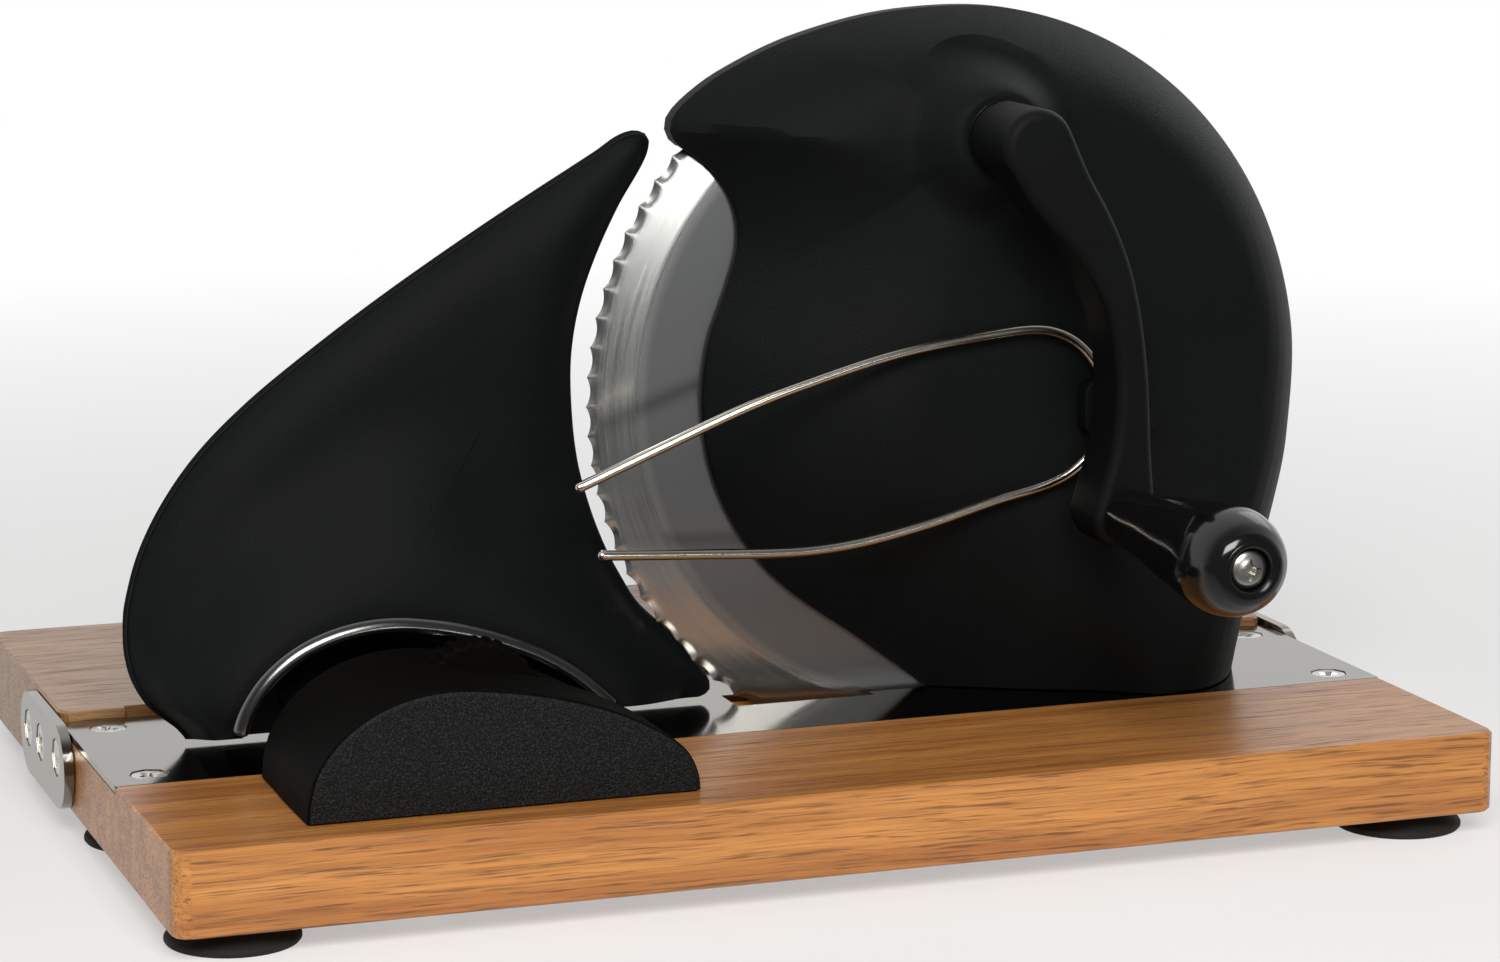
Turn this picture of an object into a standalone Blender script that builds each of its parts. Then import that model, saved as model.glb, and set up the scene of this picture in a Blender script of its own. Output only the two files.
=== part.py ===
# Hand cranked bread slicer: round blade, housing with gears, sliding stop plate, folding oak base.
# Metres, +Z up. The user stands at -Y, the loaf lies at +Y.
# Every place below is given in the plate frame: X and Y from the middle of the base, Z from its top.
# One empty carries the whole slicer into the final frame, whose origin lies on the table.
import math

import bmesh
import bpy
from mathutils import Matrix, Vector

mm = 0.001

# Fits and gaps
gap = 0.3 * mm              # between two pieces that touch
run_gap = 0.5 * mm          # between a piece and what it slides or turns beside
blade_gap = 1.0 * mm        # round the blade's edge

# Base boards
board_length = 295 * mm
front_depth = 114.8 * mm    # front board, front to back
leaf_depth = 87.7 * mm      # rear board, which folds up
board_thick = 18 * mm
leaf_step = 2 * mm          # how far the rear board's top stands over the front board's
board_front = -101.5 * mm   # Y of the front board's front edge
corner_round = 4 * mm
edge_round = 1.6 * mm
joint_gap = 0.5 * mm        # between the boards
relief_depth = 2.3 * mm     # step in the rear board's front edge
relief_inset = 14.5 * mm
foot_radius = 14 * mm
foot_height = 5.5 * mm
foot_inset_x = 15.5 * mm
foot_inset_y = 16.5 * mm

# Polished plate let into the front board
plate_thick = 1.5 * mm
plate_depth = 59.3 * mm
plate_screw_inset = 8.9 * mm
plate_screw_inset_y = 8 * mm
slot_side = 3.2 * mm        # from the blade to the slot's long sides
slot_front = 7 * mm         # wider where the slices come off
slot_front_length = 33 * mm

# Screws
wood_screw_head = 4.0 * mm
wood_screw_shank = 1.5 * mm
wood_screw_length = 14 * mm
base_screw_head = 4.2 * mm
base_screw_shank = 2.1 * mm
base_screw_length = 25 * mm
cover_screw_head = 2.7 * mm
cover_screw_shank = 1.4 * mm
cover_screw_length = 10 * mm
screw_head_height = 2.3 * mm
screw_sides = 8

# End plates and the fold
end_plate_length = 52 * mm
end_plate_radius = 9.4 * mm
end_plate_thick = 2.2 * mm
end_plate_drop = 2 * mm      # plate's middle below the pivot screw
pivot_front = 6.3 * mm      # pivot screw, ahead of the joint between the boards
pivot_drop = 6.2 * mm       # pivot screw, below the front board's top
leaf_screw_steps = (19 * mm, 33.3 * mm)   # from the pivot screw back to the two fixing screws
pivot_shank = 2.4 * mm
pivot_length = 9.2 * mm      # stops short of the plate's screws
cove_gap = 0.4 * mm

# Blade
blade_radius = 84.5 * mm
blade_thick = 1.2 * mm
blade_inset = 83.2 * mm     # from the guide block's left end to the blade's edge
blade_dip = 15.7 * mm       # blade's lowest point, below the polished plate's top
blade_y = -15.5 * mm
blade_bevel = 10.8 * mm
blade_edge_thick = 0.3 * mm
tooth_count = 80
tooth_depth = 1.0 * mm

# Blade shaft and cap
shaft_radius = 6 * mm
shaft_flange_radius = 13 * mm
shaft_flange_thick = 0.7 * mm
shaft_thread_radius = 4 * mm
cap_radius = 15 * mm
cap_height = 6 * mm
cap_rim = 2 * mm

# Gears
crank_drop = 27 * mm        # crank shaft's middle, below the housing's top
pinion_teeth = 19
wheel_teeth = 41
gear_width = 4.5 * mm
gear_backlash = 0.25 * mm
tooth_height_share = 0.75

# Housing
rim_cover = 2.5 * mm        # housing outside the blade's edge
beak_reach = 5 * mm         # the beak stands further out
window_band = 26.2 * mm     # blade left bare between its edge and the housing
wall = 2.5 * mm
rim_straight = 4.2 * mm    # straight part of the rim, before the front curves in
cover_inset = 5.5 * mm     # from the housing's outline to the rear cover's edge
rim_back = 1.0 * mm         # housing rim behind the blade's middle
front_depth_top = 27 * mm   # from the rim back to the housing's front, at the top
front_depth_foot = 31.5 * mm
boss_foot_radius = 21 * mm
boss_top_radius = 9 * mm
boss_height = 8 * mm        # crank boss over the housing's front
cover_thick = 2.8 * mm

# Crank
crank_radius = 84.2 * mm
crank_angle = math.radians(14.7)   # from straight down towards +X, at rest
crank_shaft_radius = 5 * mm
bush_wall = 1.6 * mm
bush_flange = 0.8 * mm
washer_thick = 0.7 * mm
hub_radius = 8.2 * mm
hub_length = 20 * mm
arm_depth = 15 * mm
arm_end_radius = 7.5 * mm
knob_length = 61 * mm
knob_screw_head = 4.2 * mm
knob_screw_head_height = 2.2 * mm
knob_screw_shank = 2.4 * mm

# Slice guard
wire_radius = 1.15 * mm
wire_front = 45.4 * mm      # wire's middle, ahead of the base's middle, at its tips
wire_back = 43.9 * mm       # the same at its closed end

# Guide block and thickness wheel
block_front = -91 * mm
block_back = -38.3 * mm
block_inset = 30 * mm       # from the base's left end to the block
block_screw_inset = 25.5 * mm
wheel_inset = 43.5 * mm     # wheel and guide rods, from the block's left end
wheel_z = 16 * mm
wheel_radius = 13.5 * mm
wheel_thick = 8 * mm
wheel_y = -62 * mm
rod_radius = 3 * mm
rod_length = 44 * mm
guide_rod_radius = 2.5 * mm
guide_rod_places = ((14.5 * mm, 10 * mm), (64.5 * mm, 8 * mm))
slide_travel = 14 * mm      # thickest slice

# Stop plate
stop_gap = 3.0 * mm         # from the blade's edge to the stop plate
stop_wall = 2.5 * mm
stop_lift = 1.2 * mm        # over the polished plate
stop_rim = 3 * mm
mouth_gap = 4 * mm          # round the guide block
mouth_front = -40 * mm      # Y of the mouth's rim
mouth_land = 2.6 * mm
bead_radius = 1.5 * mm
rod_seat = 1.2 * mm

# Places that follow from the sizes above
board_back = board_front + front_depth
leaf_front = board_back + joint_gap
leaf_back = leaf_front + leaf_depth
plate_front = board_back - plate_depth
pivot_y = board_back - pivot_front
block_left = -board_length / 2 + block_inset
blade_x = block_left + blade_inset + blade_radius
blade_z = blade_radius - blade_dip
dome_radius = blade_radius + rim_cover
window_radius = blade_radius - window_band
blade_front_face = blade_y - blade_thick / 2
blade_back_face = blade_y + blade_thick / 2
rim_y = blade_y + rim_back
recess_y = blade_front_face - blade_gap
crank_x = blade_x
shaft_distance = dome_radius - crank_drop
gear_module = 2 * shaft_distance / (pinion_teeth + wheel_teeth)
crank_z = blade_z + shaft_distance
boss_y = rim_y - front_depth_top - boss_height
arm_back_y = boss_y - washer_thick - 2 * gap
arm_front_y = arm_back_y - hub_length
knob_x = crank_x + crank_radius * math.sin(crank_angle)
knob_z = crank_z - crank_radius * math.cos(crank_angle)
knob_back_y = arm_front_y - gap
knob_front_y = knob_back_y - knob_length
stop_back_y = blade_y + blade_thick / 2
cover_front = recess_y - gap - cover_thick
front_inside = rim_y - front_depth_top + wall
socket_end = front_inside - wall / 2    # bottom of the blade shaft's front bearing
stand_height = foot_height + board_thick
frame_shift_y = -(knob_front_y + leaf_back) / 2
wheel_x = block_left + wheel_inset
guide_rods = [(block_left + inset, z) for inset, z in guide_rod_places]

# How the front curves in: direction from the crank's axis in degrees, width of the curve, its power
front_curves = (
    (-30, 20 * mm, 2.0), (150, 20 * mm, 2.0), (180, 0.446 * window_radius, 1.8),
    (215, 0.686 * window_radius, 1.5), (275, 0.772 * window_radius, 1.5), (284, 0.72 * window_radius, 1.5),
    (292, 0.446 * window_radius, 1.8), (300, 21 * mm, 2.0), (330, 20 * mm, 2.0),
)

upright = (math.pi / 2, 0, 0)      # a turned piece's own +Z points at the user, -Y
sideways = {-1: (0, -math.pi / 2, 0), 1: (0, math.pi / 2, 0)}


def clear_scene():
    for old in list(bpy.data.objects):
        bpy.data.objects.remove(old, do_unlink=True)


def make_collection(name):
    group = bpy.data.collections.new(name)
    bpy.context.scene.collection.children.link(group)
    return group


clear_scene()
parts = make_collection("bread_slicer")
cutters = make_collection("cutters")


def make_material(name, colour, roughness, metallic=0.0):
    material = bpy.data.materials.new(name)
    material.use_nodes = True
    shader = material.node_tree.nodes["Principled BSDF"]
    shader.inputs["Base Color"].default_value = (*colour, 1)
    shader.inputs["Roughness"].default_value = roughness
    shader.inputs["Metallic"].default_value = metallic
    return material


oak = make_material("oiled_oak", (0.44, 0.22, 0.09), 0.35)
polished_steel = make_material("polished_steel", (0.78, 0.77, 0.74), 0.08, 1.0)
blade_steel = make_material("blade_steel", (0.70, 0.70, 0.70), 0.25, 1.0)
screw_steel = make_material("screw_steel", (0.72, 0.71, 0.68), 0.3, 1.0)
black_shell = make_material("black_shell", (0.012, 0.013, 0.014), 0.55)
black_paint = make_material("black_paint", (0.012, 0.013, 0.014), 0.5)
gloss_black = make_material("gloss_black", (0.01, 0.01, 0.01), 0.12)
gear_nylon = make_material("gear_nylon", (0.75, 0.72, 0.62), 0.45)
bush_bronze = make_material("bush_bronze", (0.45, 0.28, 0.12), 0.35, 1.0)
foot_rubber = make_material("foot_rubber", (0.02, 0.02, 0.02), 0.7)

# Empties: one for the slicer, and one on each joint's axis
frame_places = {}
frame_empties = {}


def make_frame(name, place, parent=None):
    empty = bpy.data.objects.new(name, None)
    parts.objects.link(empty)
    frame_places[name] = Vector(place)
    frame_empties[name] = empty
    if parent is None:
        empty.location = (0, frame_shift_y, stand_height)
    else:
        empty.parent = frame_empties[parent]
        empty.location = Vector(place) - frame_places[parent]


make_frame("slicer", (0, 0, 0))
make_frame("fold_axis", (0, pivot_y, -pivot_drop), "slicer")
make_frame("blade_axis", (blade_x, blade_y, blade_z), "slicer")
make_frame("crank_axis", (crank_x, boss_y, crank_z), "slicer")
make_frame("knob_axis", (knob_x, arm_front_y, knob_z), "crank_axis")
make_frame("stop_slide", (wheel_x, stop_back_y, wheel_z), "slicer")
make_frame("wheel_axis", (wheel_x, wheel_y, wheel_z), "slicer")


def place(obj, frame, at=(0, 0, 0), turn=(0, 0, 0)):
    obj.parent = frame_empties[frame]
    obj.location = Vector(at) - frame_places[frame]
    obj.rotation_euler = turn
    return obj


def new_object(name, mesh, material=None):
    obj = bpy.data.objects.new(name, mesh)
    if material is None:
        cutters.objects.link(obj)
        obj.hide_render = True
        obj.display_type = "WIRE"
    else:
        mesh.materials.append(material)
        parts.objects.link(obj)
    return obj


def shade(obj, degrees=35):
    obj.data.shade_smooth()
    obj.data.set_sharp_from_angle(angle=math.radians(degrees))
    return obj


def box(name, size, material=None):
    mesh = bpy.data.meshes.new(name)
    work = bmesh.new()
    bmesh.ops.create_cube(work, size=1, matrix=Matrix.Diagonal((*size, 1)))
    work.to_mesh(mesh)
    work.free()
    return new_object(name, mesh, material)


def rod(name, radius, length, material=None, sides=24):
    mesh = bpy.data.meshes.new(name)
    work = bmesh.new()
    bmesh.ops.create_cone(work, cap_ends=True, segments=sides, radius1=radius, radius2=radius, depth=length)
    work.to_mesh(mesh)
    work.free()
    return new_object(name, mesh, material)


def turned(name, profile, material=None, steps=24, closed=False):
    """A turned piece: (radius, height) pairs running down the outer side, spun about Z."""
    mesh = bpy.data.meshes.new(name)
    points = [(radius, 0, height) for radius, height in profile]
    edges = [(i, i + 1) for i in range(len(points) - 1)]
    if closed:
        edges.append((len(points) - 1, 0))
    mesh.from_pydata(points, edges, [])
    obj = new_object(name, mesh, material)
    spin = obj.modifiers.new("Spin", "SCREW")
    spin.axis = "Z"
    spin.angle = 2 * math.pi
    spin.steps = steps
    spin.render_steps = steps
    spin.use_merge_vertices = True
    spin.merge_threshold = 0.00001
    spin.use_smooth_shade = True
    return obj


def bake(obj):
    """The evaluated mesh of an object, as a mesh that Booleans can cut."""
    bpy.context.view_layer.update()
    seen = obj.evaluated_get(bpy.context.evaluated_depsgraph_get())
    return bpy.data.meshes.new_from_object(seen)


def flat(name, outline, thick, material=None, bevel=0.0, bevel_steps=2):
    """A flat outline in local X and Y, extruded evenly about its own plane."""
    curve = bpy.data.curves.new(name, "CURVE")
    curve.dimensions = "2D"
    curve.fill_mode = "BOTH"
    curve.extrude = thick / 2
    spline = curve.splines.new("POLY")
    spline.points.add(len(outline) - 1)
    for point, (x, y) in zip(spline.points, outline):
        point.co = (x, y, 0, 1)
    spline.use_cyclic_u = True
    guide = bpy.data.objects.new(name + "_outline", curve)
    cutters.objects.link(guide)
    mesh = bake(guide)
    bpy.data.objects.remove(guide)
    work = bmesh.new()
    work.from_mesh(mesh)
    bmesh.ops.remove_doubles(work, verts=work.verts, dist=0.000001)
    bmesh.ops.recalc_face_normals(work, faces=work.faces)
    work.to_mesh(mesh)
    work.free()
    mesh.name = name
    obj = new_object(name, mesh, material)
    if bevel > 0:
        soften(obj, bevel, bevel_steps)
    return obj


def soften(obj, width, steps=2, degrees=40):
    rounding = obj.modifiers.new("Rounding", "BEVEL")
    rounding.width = width
    rounding.segments = steps
    rounding.limit_method = "ANGLE"
    rounding.angle_limit = math.radians(degrees)
    rounding.use_clamp_overlap = True
    return rounding


def tube(name, points, radius, material=None, resolution=2, closed=False):
    curve = bpy.data.curves.new(name, "CURVE")
    curve.dimensions = "3D"
    curve.bevel_depth = radius
    curve.bevel_resolution = resolution
    curve.use_fill_caps = True
    spline = curve.splines.new("POLY")
    spline.points.add(len(points) - 1)
    for point, co in zip(spline.points, points):
        point.co = (*co, 1)
    spline.use_cyclic_u = closed
    guide = bpy.data.objects.new(name + "_path", curve)
    cutters.objects.link(guide)
    mesh = bake(guide)
    bpy.data.objects.remove(guide)
    work = bmesh.new()
    work.from_mesh(mesh)
    bmesh.ops.remove_doubles(work, verts=work.verts, dist=0.000001)
    bmesh.ops.recalc_face_normals(work, faces=work.faces)
    work.to_mesh(mesh)
    work.free()
    mesh.name = name
    obj = new_object(name, mesh, material)
    return shade(obj, 60)


def boolean(obj, other, operation="DIFFERENCE"):
    cut = obj.modifiers.new(operation.title(), "BOOLEAN")
    cut.operation = operation
    cut.solver = "EXACT"
    cut.object = other
    return cut


def arc(centre, radius, start, end, steps):
    """Points on an arc, angles in degrees."""
    angles = [math.radians(start + (end - start) * i / steps) for i in range(steps + 1)]
    return [(centre[0] + radius * math.cos(a), centre[1] + radius * math.sin(a)) for a in angles]


def rounded_box(width, height, radius, steps=3):
    """A rectangle with round corners about the origin."""
    w = width / 2 - radius
    h = height / 2 - radius
    points = []
    for (x, y), start in zip(((w, h), (-w, h), (-w, -h), (w, -h)), (0, 90, 180, 270)):
        points += arc((x, y), radius, start, start + 90, steps)
    return points


def smooth_line(points, steps, closed=False):
    """A centripetal curve through the points, `steps` points on each span."""
    count = len(points)
    spans = count if closed else count - 1
    line = []
    for i in range(spans):
        if closed:
            four = [Vector(points[(i + j) % count]) for j in (-1, 0, 1, 2)]
        else:
            four = [Vector(points[min(max(i + j, 0), count - 1)]) for j in (-1, 0, 1, 2)]
        before, start, end, after = four
        for k in range(steps):
            t = k / steps
            line.append(hermite(before, start, end, after, t))
    if not closed:
        line.append(Vector(points[-1]))
    return line


def hermite(before, start, end, after, t):
    span = (end - start).length
    first = max((start - before).length, 1e-9)
    last = max((after - end).length, 1e-9)
    pull_in = (end - before) * span / (first + span)
    pull_out = (after - start) * span / (span + last)
    t2 = t * t
    t3 = t2 * t
    near = start * (2 * t3 - 3 * t2 + 1) + pull_in * (t3 - 2 * t2 + t)
    far = end * (3 * t2 - 2 * t3) + pull_out * (t3 - t2)
    return near + far


def offset_outline(points, distance):
    """Moves each point of a closed outline out by a distance, square to its sides."""
    count = len(points)
    moved = []
    for i in range(count):
        before = Vector(points[i - 1])
        here = Vector(points[i])
        after = Vector(points[(i + 1) % count])
        side_in = (here - before).normalized()
        side_out = (after - here).normalized()
        normal_in = Vector((side_in.y, -side_in.x))
        normal_out = Vector((side_out.y, -side_out.x))
        middle = (normal_in + normal_out).normalized()
        share = max(middle.dot(normal_out), 0.5)
        moved.append(here + middle * distance / share)
    return moved


def on_ray(centre, angle, outline):
    """How far from the centre a closed outline lies along one direction."""
    direction = Vector((math.cos(angle), math.sin(angle)))
    side = Vector((-direction.y, direction.x))
    best = 0
    for i in range(len(outline)):
        a = Vector(outline[i - 1]) - centre
        b = Vector(outline[i]) - centre
        over_a = a.dot(side)
        over_b = b.dot(side)
        if (over_a > 0) == (over_b > 0):
            continue
        along = a.dot(direction) + (b.dot(direction) - a.dot(direction)) * over_a / (over_a - over_b)
        best = max(best, along)
    return best


def loft(name, rings, material=None):
    """A closed body through rings of equal length, with a flat cap at each end."""
    work = bmesh.new()
    rows = [[work.verts.new(point) for point in ring] for ring in rings]
    count = len(rows[0])
    for row, following in zip(rows, rows[1:]):
        for i in range(count):
            j = (i + 1) % count
            work.faces.new((row[i], row[j], following[j], following[i]))
    work.faces.new(list(reversed(rows[0])))
    work.faces.new(rows[-1])
    bmesh.ops.recalc_face_normals(work, faces=work.faces)
    mesh = bpy.data.meshes.new(name)
    work.to_mesh(mesh)
    work.free()
    return new_object(name, mesh, material)


def polar(angle, radius):
    """A point about the blade's axis, in local X and Z, the angle in degrees."""
    return (radius * math.cos(math.radians(angle)), radius * math.sin(math.radians(angle)))


def blend(low, high, t):
    t = min(max(t, 0), 1)
    t = t * t * (3 - 2 * t)
    return low + (high - low) * t


def screw_profile(head, shank, length, grow=0.0, sink=0.0):
    """A countersunk screw below its face at Z 0, or the hole for it where it is grown."""
    return [
        (0, sink),
        (head + grow, sink),
        (head + grow, -0.3 * mm),
        (shank + grow, -screw_head_height - grow),
        (shank + grow, -length - grow),
        (0, -length - grow),
    ]


def countersunk(name, frame, at, turn, head, shank, length, targets):
    """One screw, and its hole in each of the pieces it goes through."""
    sunk = Vector((0, 0, -0.15 * mm))
    screw = turned(name, screw_profile(head, shank, length), screw_steel, screw_sides)
    hole = turned(name + "_hole", screw_profile(head, shank, length, gap, 2 * mm), None, screw_sides)
    rotation = Matrix.Identity(3)
    for axis, angle in zip("XYZ", turn):
        rotation = Matrix.Rotation(angle, 3, axis) @ rotation
    place(screw, frame, Vector(at) + rotation @ sunk, turn)
    place(hole, frame, Vector(at) + rotation @ sunk, turn)
    for target in targets:
        boolean(target, hole)
    return screw


# Base: front board, polished plate, rear board and feet
def build_boards():
    middle_y = (board_front + board_back) / 2
    board = flat("front_board", rounded_box(board_length, front_depth, corner_round), board_thick, oak)
    place(board, "slicer", (0, middle_y, -board_thick / 2))
    soften(board, edge_round, 1)
    rebate_back = board_back + 2 * mm
    rebate_front = plate_front - gap
    rebate = box("plate_rebate", (board_length + 4 * mm, rebate_back - rebate_front, 2 * (plate_thick + gap)))
    place(rebate, "slicer", (0, (rebate_back + rebate_front) / 2, 0))
    boolean(board, rebate)

    plate = flat("steel_plate", rounded_box(board_length, plate_depth, 0.8 * mm, 2), plate_thick,
                 polished_steel)
    place(plate, "slicer", (0, board_back - plate_depth / 2, -plate_thick / 2))

    leaf = flat("rear_board", rounded_box(board_length, leaf_depth, corner_round), board_thick + leaf_step, oak)
    place(leaf, "fold_axis", (0, (leaf_front + leaf_back) / 2, (leaf_step - board_thick) / 2))
    soften(leaf, edge_round, 1)
    cove_radius = math.hypot(pivot_front, pivot_drop) + cove_gap
    cove = rod("leaf_cove", cove_radius, board_length + 4 * mm, None, 40)
    place(cove, "fold_axis", (0, pivot_y, -pivot_drop), (0, math.pi / 2, 0))
    boolean(leaf, cove)
    relief = box("leaf_relief", (board_length - 2 * relief_inset, 2 * relief_depth, 2 * relief_depth))
    place(relief, "fold_axis", (0, leaf_front, leaf_step))
    boolean(leaf, relief)
    return board, plate, leaf


def build_slot(board, plate):
    """The blade dips through the plate and the front board."""
    reach = blade_radius + blade_gap
    half = math.sqrt(reach * reach - blade_z * blade_z) + blade_gap
    width = blade_thick + 2 * slot_side
    narrow = box("blade_slot", (2 * half, width, 3 * board_thick))
    place(narrow, "slicer", (blade_x, blade_y, -board_thick))
    wide_left = blade_x - half
    wide = box("slice_slot", (slot_front_length, slot_front + slot_side, 3 * plate_thick))
    wide_y = blade_y + (slot_side - slot_front) / 2
    place(wide, "slicer", (wide_left + slot_front_length / 2, wide_y, -plate_thick))
    boolean(board, narrow)
    boolean(plate, narrow)
    boolean(plate, wide)


def build_foot(number, x, y, board):
    stem_radius = 3 * mm
    stem_height = 6 * mm
    lip = 1.2 * mm
    profile = [
        (0, stem_height),
        (stem_radius, stem_height),
        (stem_radius, 0),
        (foot_radius * 0.62, 0),
        (foot_radius * 0.72, -foot_height * 0.35),
        (foot_radius, -foot_height + lip),
        (foot_radius, -foot_height + gap),
        (foot_radius - 1.2 * mm, -foot_height + gap),
        (0, -foot_height * 0.6),
    ]
    foot = turned("foot_%d" % number, profile, foot_rubber, 16)
    place(foot, "slicer", (x, y, -board_thick - gap))
    hole = rod("foot_hole_%d" % number, stem_radius + gap, 2 * (stem_height + 2 * gap), None, 16)
    place(hole, "slicer", (x, y, -board_thick))
    boolean(board, hole)


def build_end_plate(side, board, leaf):
    """One steel plate on an end of the base; it folds with the rear board round its front screw."""
    name = "left" if side < 0 else "right"
    face_x = side * (board_length / 2 + gap)
    middle_y = pivot_y - end_plate_radius + end_plate_length / 2
    outline = rounded_box(2 * end_plate_radius, end_plate_length, end_plate_radius - 0.01 * mm, 6)
    plate = flat("end_plate_" + name, outline, end_plate_thick, polished_steel)
    mid_x = face_x + side * end_plate_thick / 2
    place(plate, "fold_axis", (mid_x, middle_y, -pivot_drop - end_plate_drop), (0, math.pi / 2, 0))
    outer_x = face_x + side * end_plate_thick
    for number, step in enumerate(leaf_screw_steps, 1):
        at = (outer_x, pivot_y + step, -pivot_drop - end_plate_drop / 2)
        countersunk("leaf_screw_%s_%d" % (name, number), "fold_axis", at, sideways[side],
                    base_screw_head, base_screw_shank, base_screw_length, (plate, leaf))
    at = (outer_x, pivot_y, -pivot_drop)
    countersunk("pivot_screw_" + name, "slicer", at, sideways[side],
                base_screw_head, pivot_shank, pivot_length, (plate, board))


# Blade and its drive
def build_blade():
    outline = []
    inner = []
    for i in range(2 * tooth_count):
        angle = math.pi * i / tooth_count
        radius = blade_radius - tooth_depth * (i % 2)
        outline.append((radius * math.cos(angle), radius * math.sin(angle)))
        core = blade_radius - blade_bevel
        inner.append((core * math.cos(angle), core * math.sin(angle)))
    back = blade_thick / 2
    rings = [
        [(x, back, z) for x, z in outline],
        [(x, back - blade_edge_thick, z) for x, z in outline],
        [(x, -back, z) for x, z in inner],
    ]
    blade = loft("blade", rings, blade_steel)
    place(blade, "blade_axis", (blade_x, blade_y, blade_z))
    hole = rod("blade_hole", shaft_radius + gap, 4 * blade_thick)
    place(hole, "blade_axis", (blade_x, blade_y, blade_z), upright)
    boolean(blade, hole)
    return shade(blade, 20)


def involute(angle):
    return math.tan(angle) - angle


def gear_outline(teeth, turn):
    """Spur gear teeth with involute flanks, thinned for backlash."""
    pitch = gear_module * teeth / 2
    pressure = math.radians(20)
    base = pitch * math.cos(pressure)
    tip = pitch + gear_module * tooth_height_share
    root = pitch - gear_module * (tooth_height_share + 0.3)
    half_tooth = math.pi / (2 * teeth) + involute(pressure) - gear_backlash / (2 * pitch)
    outline = []
    for tooth in range(teeth):
        middle = turn + 2 * math.pi * tooth / teeth
        flank = []
        for radius in (root, tip):
            local = math.acos(min(base / max(radius, base), 1))
            flank.append((radius, half_tooth - involute(local)))
        outline += [(r * math.cos(middle - a), r * math.sin(middle - a)) for r, a in flank]
        outline += [(r * math.cos(middle + a), r * math.sin(middle + a)) for r, a in reversed(flank)]
    return outline


def build_gears():
    wheel_mid = cover_front - 2 * gap - bush_flange - gear_width / 2
    upward = math.pi / 2
    wheel = flat("drive_wheel", gear_outline(wheel_teeth, upward), gear_width, gear_nylon)
    place(wheel, "blade_axis", (blade_x, wheel_mid, blade_z), upright)
    bore = rod("wheel_bore", shaft_radius + gap, 2 * gear_width)
    place(bore, "blade_axis", (blade_x, wheel_mid, blade_z), upright)
    boolean(wheel, bore)

    half_step = math.pi / pinion_teeth
    pinion = flat("pinion", gear_outline(pinion_teeth, -upward + half_step), gear_width, gear_nylon)
    place(pinion, "crank_axis", (crank_x, wheel_mid, crank_z), upright)
    bore = rod("pinion_bore", crank_shaft_radius + gap, 2 * gear_width)
    place(bore, "crank_axis", (crank_x, wheel_mid, crank_z), upright)
    boolean(pinion, bore)
    return wheel_mid


def build_blade_shaft():
    """Profile heights run from the blade's middle plane towards the user."""
    flange_back = blade_thick / 2 + gap
    flange_front = flange_back + shaft_flange_thick
    tail = cap_height * 0.55
    front_end = blade_y - socket_end - gap
    profile = [
        (0, front_end),
        (shaft_radius - 0.6 * mm, front_end),
        (shaft_radius, front_end - 0.6 * mm),
        (shaft_radius, flange_front),
        (shaft_flange_radius, flange_front),
        (shaft_flange_radius, flange_back),
        (shaft_radius, flange_back),
        (shaft_radius, -blade_thick / 2),
        (shaft_thread_radius, -blade_thick / 2),
        (shaft_thread_radius, -blade_thick / 2 - tail),
        (0, -blade_thick / 2 - tail),
    ]
    shaft = turned("blade_shaft", profile, screw_steel, 16)
    place(shaft, "blade_axis", (blade_x, blade_y, blade_z), upright)

    back = -blade_thick / 2 - gap
    bore = shaft_thread_radius + gap
    deep = back - tail - gap
    profile = [
        (0, deep), (bore, deep), (bore, back), (cap_radius, back), (cap_radius, back - cap_rim),
        (cap_radius * 0.8, back - cap_height * 0.72), (cap_radius * 0.45, back - cap_height * 0.95),
        (0, back - cap_height),
    ]
    cap = turned("blade_cap", profile, screw_steel, 20)
    return place(cap, "blade_axis", (blade_x, blade_y, blade_z), upright)


# Housing
def housing_outline():
    """The housing about the blade's axis, seen from the front, running anticlockwise."""
    dome = dome_radius
    window = window_radius
    dome_part = [polar(a, dome) for a in (-10, 8, 26, 44, 62, 80, 98)]
    beak = [
        polar(114, dome + 0.35 * beak_reach), polar(126, dome + 0.8 * beak_reach),
        polar(133, dome + beak_reach), polar(136.6, dome + 0.85 * beak_reach),
        polar(138.2, dome + 0.15 * beak_reach), polar(137.8, dome - 5 * mm),
        polar(137.5, window + 17 * mm), polar(139.5, window + 8.6 * mm), polar(145, window + 2.6 * mm),
    ]
    window_part = [polar(a, window) for a in (154, 167, 180, 193, 206, 219, 231)]
    right = dome - 12.5 * mm
    foot = [
        polar(250.2, window + 2.2 * mm), (-4.9 * mm, -blade_z),
        (right - 62.5 * mm, -14.2 * mm - blade_z), (right - 42.5 * mm, -28.2 * mm - blade_z),
        (right - 24.5 * mm, -35.2 * mm - blade_z), (right - 10.5 * mm, -29.2 * mm - blade_z),
        (right - 4 * mm, -11.2 * mm - blade_z), (right, 10.8 * mm - blade_z), polar(339.7, dome + 1.05 * mm),
    ]
    points = dome_part + beak + window_part + foot
    return smooth_line(points, 6, True)


def curve_at(angle):
    """Width and power of the front's curve in one direction from the crank's axis."""
    degrees = (math.degrees(angle) + 30) % 360 - 30
    for (a, width_a, power_a), (b, width_b, power_b) in zip(front_curves, front_curves[1:]):
        if degrees <= b:
            t = (degrees - a) / (b - a)
            return width_a + (width_b - width_a) * t, power_a + (power_b - power_a) * t
    return front_curves[-1][1:]


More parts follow.
